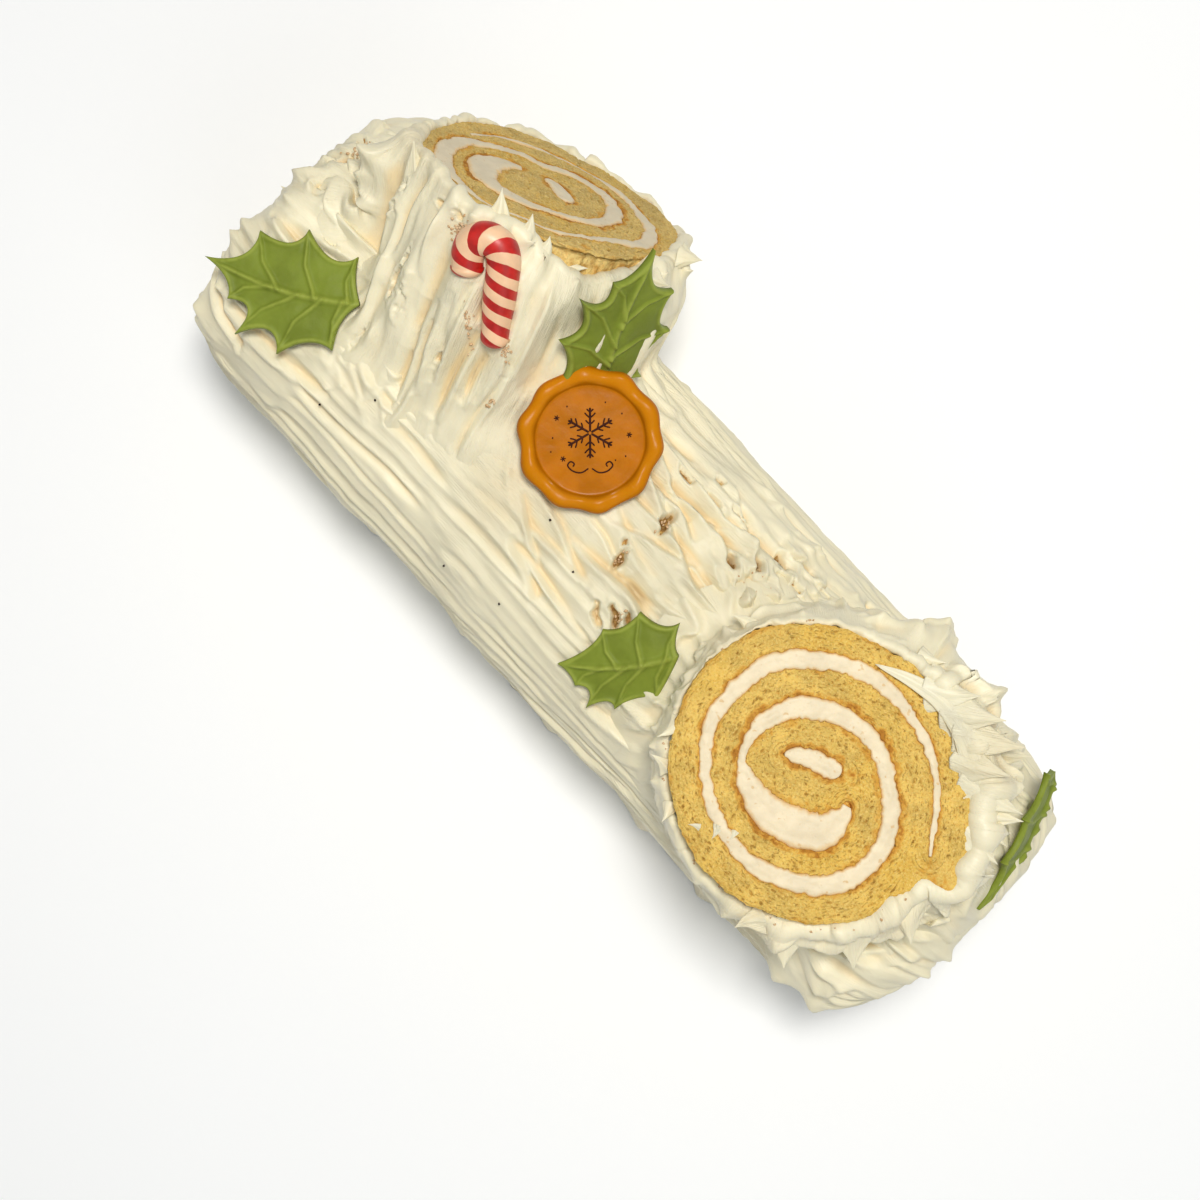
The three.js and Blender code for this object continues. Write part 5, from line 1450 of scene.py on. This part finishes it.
# Each leaf: its cut, stem, tip, the direction it faces, and the radii that it droops and arches with.
LEAVES = (
    (BROAD_LEAF, (-112.4, -5.4, 103.0), (-155.5, -28.9, 98.5), (-0.07, -0.12, 1.0), 400.0, 110.0),
    (BROAD_LEAF, (-46.4, 28.5, 97.2), (-62.3, 65.6, 128.6), (0.849, -0.084, 0.522), 400.0, 300.0),
    (SHORT_LEAF, (27.4, -7.9, 101.5), (4.5, -35.8, 91.5), (-0.1, -0.42, 1.0), 200.0, 60.0),
    (BROAD_LEAF, (132.0, 51.5, 88.0), (145.0, 5.4, 97.0), (0.93, 0.27, 0.36), 120.0, 160.0),
)
LEAF_BOW = 0.06
LEAF_THICKNESS = 1.7


def cane_tube(settings):
    """The cane's rod: a circle carried along the crook, with rounded ends where its radius falls as a quarter
    circle. The stripes are the waves sin(2 pi s / pitch - 2 a) of the length s and the angle a round the rod."""
    radius, pitch = settings.cane_radius / MM, settings.stripe_pitch / MM
    path = curve_through(CANE["path"], 230, measured=2)
    arc = lengths_along(path)
    turn = np.linspace(0, 2 * math.pi, 56, endpoint=False)
    blunt = np.linspace(0, math.pi / 2, 12)[:-1]
    thin = 1 - 0.17 * ease((14 - arc) / 14) - 0.1 * ease((arc - 34) / 14) + 0.012 * noise(arc / 5, arc * 0, 4)
    end = 0.62 * radius
    s = np.concatenate([arc[0] - end * np.cos(blunt), arc, arc[-1] + end * np.sin(blunt + math.pi / 24)])
    size = radius * np.concatenate([thin[0] * np.sin(blunt + 0.06), thin, np.cos(blunt + 0.03)])[:, None]
    past = s - np.clip(s, arc[0], arc[-1])
    x, y, across_x, across_y = (np.interp(s, arc, column) for column in (*path.T, *across_of(path).T))
    x, y = x - across_y * past, y + across_x * past
    side = size * np.cos(turn)
    points = in_frame(CANE, x[:, None] + side * across_x[:, None], y[:, None] + side * across_y[:, None],
                      size * np.sin(turn))
    wave = np.sin(2 * math.pi * s[:, None] / pitch - 2 * turn + 0.25 * noise(s / 7, s * 0, 2)[:, None])
    return closed_tube(points), {"stripe": with_ends(wave)}


def seal_frame():
    """The seal's own frame: z along its normal, and x the world's X made square to it."""
    z = unit(np.array(SEAL["normal"]))
    x = unit(np.array([1.0, 0.0, 0.0]) - z * z[0])
    return {"centre": SEAL["centre"], "x": x, "y": np.cross(z, x)}


def seal_grid():
    """The seal: a rolled rim round a flat field. Its section (share of the radius, height) is turned round the
    middle, while the rim swells and draws in with the cosine of ten times the angle and sags unevenly."""
    section = curve_through(SEAL_SECTION, 150, measured=2)
    turn = np.linspace(0, 2 * math.pi, 400, endpoint=False)
    share, level = section[:, :1], section[:, 1:]
    lobes = np.cos(SEAL["scallops"] * turn + 0.5 * noise(turn * 1.9, turn * 0, 5))
    swell = 0.6 * lobes + 0.4 * noise(turn * 2.2, turn * 0, 9)
    reach = SEAL["radius"] * share + ease((share - 0.74) / 0.2) * swell
    bulge = ease((share - 0.76) / 0.06) * ease((1.02 - share) / 0.1) * (level > 2.5)
    height = level + bulge * (0.34 * lobes - 0.1 + 0.22 * noise(turn * 3.1 + share * 4, share * 6, 6))
    x, y = reach * np.cos(turn), reach * np.sin(turn)
    height = height + (level > 2.9) * (share < 0.74) * (0.05 * noise(x / 2.3, y / 2.3, 3))
    values = {"level": with_ends(level + 0 * turn), "share": with_ends(share + 0 * turn)}
    return closed_tube(in_frame(seal_frame(), x, y, height)), values


def print_stroke(heap, path, width):
    """One printed line, a flat strip with rounded ends laid along a path on the seal's field."""
    path = np.array(path, dtype=float)
    line = curve_through(path, max(14, int(lengths_along(path)[-1] / 0.2)), measured=2)
    arc, across = lengths_along(line), across_of(line)
    past = np.minimum(arc, arc[-1] - arc)
    half = 0.5 * width * np.sqrt(1 - (1 - np.clip(past / (0.5 * width), 0.06, 1)) ** 2)
    offset = half[:, None] * np.array([-1.0, -0.85, 0.0, 0.85, 1.0, 1.0, -1.0])
    level = PRINT_LEVEL + np.array([0.0, 0.1, 0.13, 0.1, 0.0, -0.3, -0.3]) + 0 * offset
    x, y = (line[:, k, None] + offset * across[:, k, None] for k in (0, 1))
    c, s = unit(np.array(CROWN["x"][:2]))
    heap.add(*closed_tube(in_frame(seal_frame(), c * x - s * y, s * x + c * y, level)))


def seal_print():
    """The seal's printed ornament: a six-armed snowflake with twigs, small stars and dots round it, and two
    curls under it."""
    heap, centre = Heap(), np.array([0.0, 2.2])
    for arm in range(6):
        out, side = heading(60 * arm + 30), heading(60 * arm + 120)
        print_stroke(heap, [centre + out * r for r in (0.4, 3.6, 7.4)], 0.66)
        for at, length in ((2.5, 1.9), (4.4, 2.3), (6.1, 1.4)):
            for turn in (-1, 1):
                foot = centre + out * at
                print_stroke(heap, [foot, foot + (0.62 * out + 0.74 * turn * side) * length * 0.5,
                                    foot + (0.66 * out + 0.7 * turn * side) * length], 0.46)
    for degrees, distance, size in PRINTED_DOTS:
        place, star = distance * heading(degrees), size > 0.4
        arms = [0.85 * heading(turn) for turn in (10, 70, 130)] if star else [np.array([0.2, 0.0])]
        for arm in arms:
            print_stroke(heap, [place - arm, place, place + arm], 0.3 if star else 2 * size)
    for turn in (-1, 1):
        print_stroke(heap, [(turn * x, y) for x, y in PRINTED_CURL], 0.44)
    return heap.made()[:3]


def leaf_edge(side, roots):
    """Points on one edge of a leaf for places along its midrib. Between two neighbouring spikes the edge is an
    arc through the middle of its hollow, (1 - t)^2 a + 2 t (1 - t) m + t^2 b, and t follows the midrib."""
    spikes, hollows = side
    corners, hollows = np.array([(1.0, 1.0, 0.0), *spikes, (0.0, 0.0, 0.0)]), np.array(hollows)
    k = np.clip(np.searchsorted(-corners[:, 0], -roots, side="right") - 1, 0, len(hollows) - 1)
    t = ((corners[k, 0] - roots) / (corners[k, 0] - corners[k + 1, 0]))[:, None]
    start, end = corners[k, 1:], corners[k + 1, 1:]
    middle = 2 * hollows[k] - (start + end) / 2
    return (1 - t) ** 2 * start + 2 * t * (1 - t) * middle + t**2 * end


def from_segment(x, y, start, end):
    """Distance of places from a straight line between two points, and the share of it that they stand at."""
    run = end - start
    share = np.clip(((x - start[0]) * run[0] + (y - start[1]) * run[1]) / float(run @ run), 0, 1)
    return np.hypot(x - start[0] - share * run[0], y - start[1] - share * run[1]), share


def leaf_veins(x, y, cut, length):
    """For places on a leaf: how near the closest vein is, and how high it stands, exp(-(d / w)^2). A vein runs
    from the midrib to a spike in two straight parts."""
    nearest, vein = np.full(x.shape, 99.0), np.zeros(x.shape)
    for turn, (spikes, _) in zip((1, -1), cut.values()):
        for root, *spike in spikes:
            start = np.array([root, LEAF_BOW * math.sin(math.pi * root)]) * length
            tip = np.array(spike) * length
            middle = 0.5 * (start + tip) + np.array([1.0, -0.6 * turn]) * 0.035 * length
            for a, b, first in ((start, middle, 0.0), (middle, tip, 0.5)):
                distance, along = from_segment(x, y, a, b)
                along = first + 0.5 * along
                nearest = np.minimum(nearest, distance)
                vein = np.maximum(vein, np.exp(-((distance / (0.85 - 0.35 * along)) ** 2)) * (1 - 0.4 * along))
    return nearest, vein


def leaf_sheet(cut, stem, tip, face, droop, arch, seed):
    """A holly leaf as a closed sheet. Each row runs from the left edge over the midrib to the right edge, and back
    underneath; rows follow one another from tip to stem. The upper side has ridges exp(-(d / w)^2) along the
    midrib, the veins and the rim, where d is the distance from each, and is pillowed between them."""
    run = np.array(tip) - np.array(stem)
    length = float(np.linalg.norm(run))
    stops = [[1.0, *(spike[0] for spike in spikes), 0.0] for spikes, _ in cut.values()]
    roots = np.concatenate([np.linspace(a, b, 26) for table in stops for a, b in zip(table[:-1], table[1:])])
    roots = np.sort(np.clip(roots, 0.004, 0.997))[::-1]
    roots = roots[np.concatenate([[True], -np.diff(roots) > 3e-4])]
    midrib = np.stack([roots, LEAF_BOW * np.sin(math.pi * roots)], axis=1)
    left, right = (leaf_edge(side, roots) for side in cut.values())
    share = np.append(1 - np.linspace(1, 0, 26)[:-1] ** 1.15, [0.985, 1.0])
    halves = [midrib[:, None] + (edge - midrib)[:, None] * share[:, None] for edge in (left, right)]
    x, y = np.moveaxis(np.concatenate([halves[0][:, ::-1], halves[1][:, 1:]], axis=1) * length, -1, 0)
    edge_share = np.concatenate([share[::-1], share[1:]]) + 0 * x
    from_rib = np.abs(y - LEAF_BOW * np.sin(math.pi * np.clip(x / length, 0, 1)) * length)
    fade = np.minimum(1.0, np.minimum(9 * x / length + 0.12, 6 * (1 - x / length)))
    nearest, vein = leaf_veins(x, y, cut, length)
    border = np.concatenate([left, right[::-1]]) * length
    to_edge = np.sqrt(np.concatenate([
        ((part[:, None] - border) ** 2).sum(axis=-1).min(axis=1)
        for part in np.array_split(np.stack([x.ravel(), y.ravel()], axis=1), 8)])).reshape(x.shape)
    rib = np.exp(-((from_rib / (0.7 + 0.45 * (1 - x / length))) ** 2))
    rim = np.exp(-(((to_edge - 0.7) / 0.8) ** 2))
    valley = np.minimum(np.minimum(nearest, from_rib), to_edge)
    relief = fade * (1.25 * rib + 1.0 * vein + 0.6 * rim + 0.55 * (1 - np.exp(-valley / 2.6)) - 0.35)
    relief = relief + 0.06 * noise(x / 1.4, y / 1.4, seed) - 0.55 * ease((edge_share - 0.975) / 0.025)
    sag = (x - length / 2) ** 2 / (2 * droop) + y**2 / (2 * arch)
    sag = sag + 0.5 * noise(x / 9, y / 9, seed + 1) * ease(to_edge / 3)
    last = x.shape[1] - 1
    under = np.concatenate([[last], np.arange(last - 2, 1, -3), [0]])
    # raised: how high each place stands on the midrib, veins and rim; the leaf's material paints a highlight from it
    raised = np.clip(np.maximum(rib * fade, np.maximum(0.95 * vein, 0.9 * rim)), 0, 1)
    x, y, height, raised = (np.hstack([over, below[:, under]]) for over, below in (
        (x, x), (y, y), (LEAF_THICKNESS + relief - sag, 0.15 - sag), (raised, 0 * x)))
    own = {"centre": stem, "x": run, "y": np.cross(face, run)}
    return closed_tube(in_frame(own, x, y, height)), {"raised": with_ends(raised)}


def sugar_cane(settings):
    """Pulled sugar: red stripes sunk in cream, with softly bled edges and a faint satin gloss."""
    paint = Paint("cane_sugar")
    wave = paint.uneven(paint.value("stripe"), paint.noise(380, 2), 0.35)
    body = paint.mottled(paint.noise(210), 0.35, 0.7, settings.cane_cream, 0.94, 1.07)
    stripe = paint.mottled(paint.noise(300), 0.3, 0.7, settings.cane_red, 0.82, 1.25)
    paint.bump(paint.rescaled(wave, -0.3, 0.3, 1.0, 0.0), 0.00012, 0.5)
    paint.bump(paint.noise(700), 0.0002, 0.25)
    return paint.finish(paint.mixed(paint.rescaled(wave, -0.06, 0.1), body, stripe), 0.42,
                        (0.12, (0.003, 0.0012, 0.0008), 0.5), Coat_Weight=0.12, Coat_Roughness=0.3)


def amber_wax(settings):
    """The seal's amber: deep orange, with a painted highlight that makes it paler and yellower where the rolled rim
    is high and painted shade at the rim's inner foot, with a soft gloss and faint flow marks."""
    paint = Paint("seal_amber")
    base, share = settings.seal_colour, paint.value("share")
    clouds = paint.noise(120, 3, 0.55)
    # painted highlight: paler and yellower where the rolled rim stands high
    high = paint.rescaled(paint.value("level"), 3.5, 5.1, 0.0, 0.75)
    colour = paint.mixed(high, paint.mottled(clouds, 0.3, 0.7, base, 0.9, 1.1), shade(base, (1.3, 1.5, 2.2)))
    # painted shade: darker at the inner foot of the rim, where it rises from the field
    gutter = paint.maths("MULTIPLY", paint.rescaled(share, 0.745, 0.775), paint.rescaled(share, 0.83, 0.79, 0, 0.35))
    colour = paint.mixed(gutter, colour, shade(base, 0.62))
    paint.bump(paint.noise(260), 0.0004, 0.3)
    paint.bump(paint.noise(1300, 2), 0.00015, 0.2)
    return paint.finish(colour, paint.rescaled(clouds, 0.3, 0.7, 0.28, 0.4), (0.1, (0.004, 0.0015, 0.0003), 0.5),
                        Specular_IOR_Level=0.06, Coat_Weight=0.05, Coat_Roughness=0.2)


def print_ink(settings):
    """Edible print: dark brown, a little uneven in its depth of colour."""
    paint = Paint("seal_ink")
    colour = paint.mottled(paint.noise(900), 0.35, 0.7, settings.ink_colour, 1.0, 1.8)
    return paint.finish(colour, 0.6, Specular_IOR_Level=0.08)


def leaf_paste(settings):
    """Moulded sugar paste leaves: olive green, with a painted highlight that makes the raised veins, midrib and rim
    paler, waxy.
    """
    paint = Paint("leaf_paste")
    green, clouds = settings.leaf_colour, paint.noise(90, 3, 0.55)
    # painted highlight: the raised midrib, veins and rim paler, unevenly
    ridge_highlight = paint.maths("MULTIPLY", paint.value("raised"), paint.rescaled(paint.noise(260), 0.25, 0.6, 0.55, 1.0))
    colour = paint.mixed(paint.rescaled(ridge_highlight, 0.15, 0.95, 0.0, 0.85),
                         paint.mottled(clouds, 0.32, 0.7, green, 0.88, 1.12), shade(green, (1.62, 1.5, 2.1)))
    paint.bump(paint.noise(520, 3, 0.55), 0.0003, 0.3)
    paint.bump(paint.cells(1400), 0.0001, 0.2)
    return paint.finish(colour, paint.rescaled(clouds, 0.3, 0.7, 0.46, 0.56), (0.08, (0.001, 0.002, 0.0005), 0.5),
                        Specular_IOR_Level=0.16)


class YULE_OT_decorations(bpy.types.Operator):
    """Makes the cane, the seal and the holly leaves"""

    bl_idname = "yule.decorations"
    bl_label = "Make the Decorations"

    def execute(self, context):
        settings = context.scene.yule_decor
        shape, values = cane_tube(settings)
        new_piece("striped_cane", *shape, sugar_cane(settings), "cane", ("candy_cane",), values)
        shape, values = seal_grid()
        new_piece("wax_seal", *shape, amber_wax(settings), "seal", ("seal",), values)
        new_piece("seal_print", *seal_print(), print_ink(settings), "seal")
        green = leaf_paste(settings)
        for number, leaf in enumerate(LEAVES, start=1):
            shape, values = leaf_sheet(*leaf, number)
            new_piece(f"holly_{number}", *shape, green, "leaf", (f"holly_leaf_{number}",), values)
        return {"FINISHED"}


# ------------------------------------------------------------------ crumbs and specks

# Crumbs on the buttercream: (x, y, how far they spread along and across, degrees, how many, size).
CRUMB_PATCHES = (
    (-73.0, 17.5, 5.5, 1.2, 138, 40, 0.34), (-84.0, 13.0, 4.5, 0.9, 138, 30, 0.34),
    (-104.0, 29.0, 3.0, 2.6, 40, 44, 0.36), (-64.5, 3.0, 1.6, 1.4, 0, 9, 0.45), (-3.7, 17.0, 3.2, 1.0, 97, 9, 0.4),
    (-5.2, -1.1, 3.2, 1.0, 92, 9, 0.4), (8.0, -13.5, 4.0, 1.4, -42, 12, 0.4), (-146.5, 27.0, 5.0, 2.0, 50, 26, 0.4),
    (26.0, 25.0, 9.0, 5.0, 20, 8, 0.3),
)
# Dark vanilla specks, one by one: (x, y).
SPECKS = ((-28.1, -8.1), (-12.2, -13.7), (-20.7, -36.6), (-40.7, -41.0), (-101.3, -34.7), (-89.9, -21.5))
SPECK_SIZE = 0.42
CRUST_CRUMBS = 60
CRUMB_COLOURS = ((0.72, 0.53, 0.33), (0.55, 0.34, 0.17))
SPECK_COLOURS = ((0.05, 0.03, 0.02), (0.02, 0.012, 0.01))
TOP_REACH = 0.8


def pebble(draw, size, stretch=1.0):
    """A crumb: the six corners of an octahedron and its edges' middles pushed out unevenly, 18 points and 32
    faces, scaled and turned at random."""
    corners = np.vstack([np.eye(3), -np.eye(3)])[[0, 3, 1, 4, 2, 5]]
    pairs = [(a, b) for a in range(6) for b in range(a + 1, 6) if a // 2 != b // 2]
    mid = {pair: 6 + k for k, pair in enumerate(pairs)}
    faces = []
    for corner in range(8):
        x, y, z = corner // 4, 2 + corner // 2 % 2, 4 + corner % 2
        a, b, c = (x, y, z) if (x + y + z) % 2 == 0 else (x, z, y)
        ab, bc, ca = (mid[tuple(sorted(pair))] for pair in ((a, b), (b, c), (c, a)))
        faces += [(a, ab, ca), (b, bc, ab), (c, ca, bc), (ab, bc, ca)]
    points = np.vstack([corners, [unit(corners[a] + corners[b]) for a, b in pairs]])
    points = points * draw.uniform(0.7, 1.15, (18, 1)) * size * np.array([stretch, 1.0, 1.0])
    turn = unit(draw.normal(size=(3, 3)))
    turn[1] = unit(np.cross(turn[0], turn[1]))
    turn[2] = np.cross(turn[0], turn[1])
    return points @ turn, np.zeros((0, 4), dtype=int), np.array(faces)


def frosting_top():
    """A function that gives the height of the frosting's highest point near a place, seen from above."""
    grids = []
    for piece in bpy.context.scene.objects:
        if piece.name.endswith("frosting") or piece.name.startswith("log_frosting"):
            flat = np.empty(3 * len(piece.data.vertices), dtype=np.float32)
            piece.data.vertices.foreach_get("co", flat)
            grids.append(flat.reshape(-1, 3) / MM)
    points = np.vstack(grids)

    def top_at(x, y):
        near = np.hypot(points[:, 0] - x, points[:, 1] - y) < TOP_REACH
        return float(points[near, 2].max()) if near.any() else 0.0
    return top_at


def crumb_material(name, light, dark):
    """Dry crumb, clouded between a light and a dark colour, with a rough skin."""
    paint = Paint(name)
    colour = paint.mixed(paint.rescaled(paint.noise(600, 2), 0.35, 0.65), light, dark)
    paint.bump(paint.noise(1800), 0.0003, 0.5)
    return paint.finish(colour, 0.85, Specular_IOR_Level=0.2)


class YULE_OT_scatter_crumbs(bpy.types.Operator):
    """Scatters crumbs and dark specks on the frosting"""

    bl_idname = "yule.scatter_crumbs"
    bl_label = "Scatter the Crumbs"

    def execute(self, context):
        draw = np.random.default_rng(context.scene.yule_frosting.seed + 7)
        top_at, crumbs, specks = frosting_top(), Heap(), Heap()
        for x, y, along, across, degrees, count, size in CRUMB_PATCHES:
            c, s = heading(degrees)
            for _ in range(count):
                t, n = draw.normal(0, 0.55 * along), draw.normal(0, 0.6 * across)
                own = size * draw.uniform(0.5, 1.3)
                px, py = x + c * t - s * n, y + s * t + c * n
                points, *faces = pebble(draw, own, draw.uniform(1.0, 1.7))
                crumbs.add(points + (px, py, top_at(px, py) - 0.1 * own), *faces)
        turn = np.radians(draw.uniform(90, 330, CRUST_CRUMBS))
        reach = CROWN["radius"] * draw.uniform(0.97, 1.06, CRUST_CRUMBS)
        for x, y, z in round_face(CROWN, reach, turn, 0 * turn):
            points, *faces = pebble(draw, draw.uniform(0.2, 0.45), draw.uniform(1.0, 1.6))
            crumbs.add(points + (x, y, min(top_at(x, y), z) + 0.1), *faces)
        for x, y in SPECKS:
            points, *faces = pebble(draw, SPECK_SIZE)
            specks.add(points + (x, y, top_at(x, y) + 0.1), *faces)
        pale = crumb_material("loose_crumb", *CRUMB_COLOURS)
        dark = crumb_material("vanilla_speck", *SPECK_COLOURS)
        for name, heap, material in (("loose_crumbs", crumbs, pale), ("vanilla_specks", specks, dark)):
            *shape, _ = heap.made()
            new_piece(name, *shape, material, "frosting")
        return {"FINISHED"}


# ------------------------------------------------------------------ stage

FLOOR_HALF, FLOOR_DROP = 4.0, -0.0003
SKY_COLOUR, SKY_STRENGTH = (0.93, 0.975, 1.0, 1.0), 0.31
# Lamps: name, place to the right, up and over the floor, size in metres, power in watts, colour.
LAMPS = (
    ("key_lamp", 0.06, 0.14, 1.16, 0.22, 9.2, (1.0, 0.98, 0.945)),
    ("fill_lamp", 0.3, -0.75, 0.9, 0.8, 1.8, (0.94, 0.98, 1.0)),
)
LAMP_AIM = (0.0, 0.0, 0.05)
CAMERA_OVER = (-0.00065, -0.0136)
SENSOR_WIDTH = 36.0


def pale_floor(settings):
    """A smooth pale studio floor with the faintest mottling."""
    paint = Paint("studio_floor")
    tint = settings.floor_colour
    return paint.finish(paint.mixed(paint.noise(9, 2), shade(tint, 0.99), shade(tint, 1.0)), 0.85)


def add_object(name, data):
    new = bpy.data.objects.new(name, data)
    bpy.context.scene.collection.objects.link(new)
    return new


def add_lamp(name, right, up, height, size, power, colour):
    """A square soft lamp that looks at the cake. Its place, in metres, is to the right and up as the camera
    sees it, and over the floor."""
    lamp = bpy.data.lights.new(name, "AREA")
    lamp.shape, lamp.size, lamp.energy, lamp.color = "SQUARE", size, power, colour
    place = Vector((*(right * np.array(CROWN["x"]) + up * np.array(CROWN["y"]))[:2], height))
    lamp_object = add_object(name, lamp)
    lamp_object.location = place
    lamp_object.rotation_euler = (Vector(LAMP_AIM) - place).to_track_quat("-Z", "Y").to_euler()


# ------------------------------------------------------------------ operators


class YULE_OT_frost_log(bpy.types.Operator):
    """Spreads the log's buttercream"""

    bl_idname = "yule.frost_log"
    bl_label = "Frost the Log"

    def execute(self, context):
        settings = context.scene.yule_frosting
        points, p, q, share = log_grid(settings.grid)
        skin, draw = log_spread(p, q, settings.seed)
        end_walls(skin, points, share, draw)
        moved, normals = finish_log(points, skin, settings.depth)
        add_skin("log_frosting", moved, normals, skin, buttercream(settings), 3)
        return {"FINISHED"}


def frost_collar(name, collar, settings):
    """A collar's grid and its frosting made a piece."""
    points, skin = collar(settings)
    moved, normals = skin.raised(points, settings.depth, -1.0)
    add_skin(name, moved, normals, skin, bpy.data.materials["buttercream"], 1)
    return {"FINISHED"}


class YULE_OT_frost_branch(bpy.types.Operator):
    """Spreads the buttercream round the branch"""

    bl_idname = "yule.frost_branch"
    bl_label = "Frost the Branch"

    def execute(self, context):
        return frost_collar("branch_frosting", branch_skin, context.scene.yule_frosting)


class YULE_OT_frost_crown(bpy.types.Operator):
    """Spreads the buttercream round the slice on the crown"""

    bl_idname = "yule.frost_crown"
    bl_label = "Frost round the Crown Slice"

    def execute(self, context):
        return frost_collar("crown_frosting", crown_skin, context.scene.yule_frosting)


class YULE_OT_pull_tips(bpy.types.Operator):
    """Draws out the frosting's tips"""

    bl_idname = "yule.pull_tips"
    bl_label = "Pull the Tips"

    def execute(self, context):
        *shape, values = pulled_tips()
        new_piece("frosting_tips", *shape, bpy.data.materials["buttercream"], "frosting", ("frosted_log",), values)
        return {"FINISHED"}


class YULE_OT_stage(bpy.types.Operator):
    """Adds the floor, the lamps and the camera, which looks straight down"""

    bl_idname = "yule.stage"
    bl_label = "Set the Stage"

    def execute(self, context):
        settings, scene = context.scene.yule_stage, context.scene
        mesh = bpy.data.meshes.new("studio_floor")
        corners = [(x * FLOOR_HALF, y * FLOOR_HALF, FLOOR_DROP) for x, y in ((-1, -1), (1, -1), (1, 1), (-1, 1))]
        mesh.from_pydata(corners, [], [(0, 1, 2, 3)])
        mesh.materials.append(pale_floor(settings))
        floor = add_object("studio_floor", mesh)
        scene.world = bpy.data.worlds.new("studio_light")
        scene.world.use_nodes = True
        background = scene.world.node_tree.nodes["Background"]
        background.inputs["Color"].default_value = SKY_COLOUR
        background.inputs["Strength"].default_value = SKY_STRENGTH * settings.light
        for *place, power, colour in LAMPS:
            add_lamp(*place, power * settings.light, colour)
        camera = bpy.data.cameras.new("camera")
        camera.sensor_width = SENSOR_WIDTH
        camera.lens = SENSOR_WIDTH * settings.camera_height / settings.frame_width
        scene.camera = add_object("camera", camera)
        scene.camera.location = (*CAMERA_OVER, settings.camera_height)
        scene.camera.rotation_euler = (0.0, 0.0, math.atan2(CROWN["x"][1], CROWN["x"][0]))
        scene.view_settings.view_transform = "Standard"
        return {"FINISHED"}


class YULE_PT_panel(bpy.types.Panel):
    """Lists the parts of the cake in the sidebar"""

    bl_label = "Yule Log"
    bl_idname = "YULE_PT_panel"
    bl_space_type = "VIEW_3D"
    bl_region_type = "UI"
    bl_category = "Yule Log"

    def draw(self, context):
        layout = self.layout
        for name in SETTINGS:
            box = layout.box()
            box.label(text=name.capitalize())
            group = getattr(context.scene, f"yule_{name}")
            for field in group.bl_rna.properties:
                if field.identifier not in ("rna_type", "name"):
                    box.prop(group, field.identifier)
        for operator in OPERATORS:
            layout.operator(operator.bl_idname)


SETTINGS = {"frosting": FrostingSettings, "roll": RollSettings, "decor": DecorSettings, "stage": StageSettings}
OPERATORS = (YULE_OT_frost_log, YULE_OT_frost_branch, YULE_OT_frost_crown, YULE_OT_pull_tips, YULE_OT_cut_rolls,
             YULE_OT_decorations, YULE_OT_scatter_crumbs, YULE_OT_stage)


def register():
    for group in SETTINGS.values():
        bpy.utils.register_class(group)
    for operator in OPERATORS:
        bpy.utils.register_class(operator)
    bpy.utils.register_class(YULE_PT_panel)
    for name, group in SETTINGS.items():
        setattr(bpy.types.Scene, f"yule_{name}", bpy.props.PointerProperty(type=group))


def unregister():
    for name in SETTINGS:
        delattr(bpy.types.Scene, f"yule_{name}")
    bpy.utils.unregister_class(YULE_PT_panel)
    for operator in reversed(OPERATORS):
        bpy.utils.unregister_class(operator)
    for group in reversed(list(SETTINGS.values())):
        bpy.utils.unregister_class(group)


def main():
    register()
    for operator in OPERATORS:
        area, name = operator.bl_idname.split(".")
        getattr(getattr(bpy.ops, area), name)()


if __name__ == "__main__":
    main()
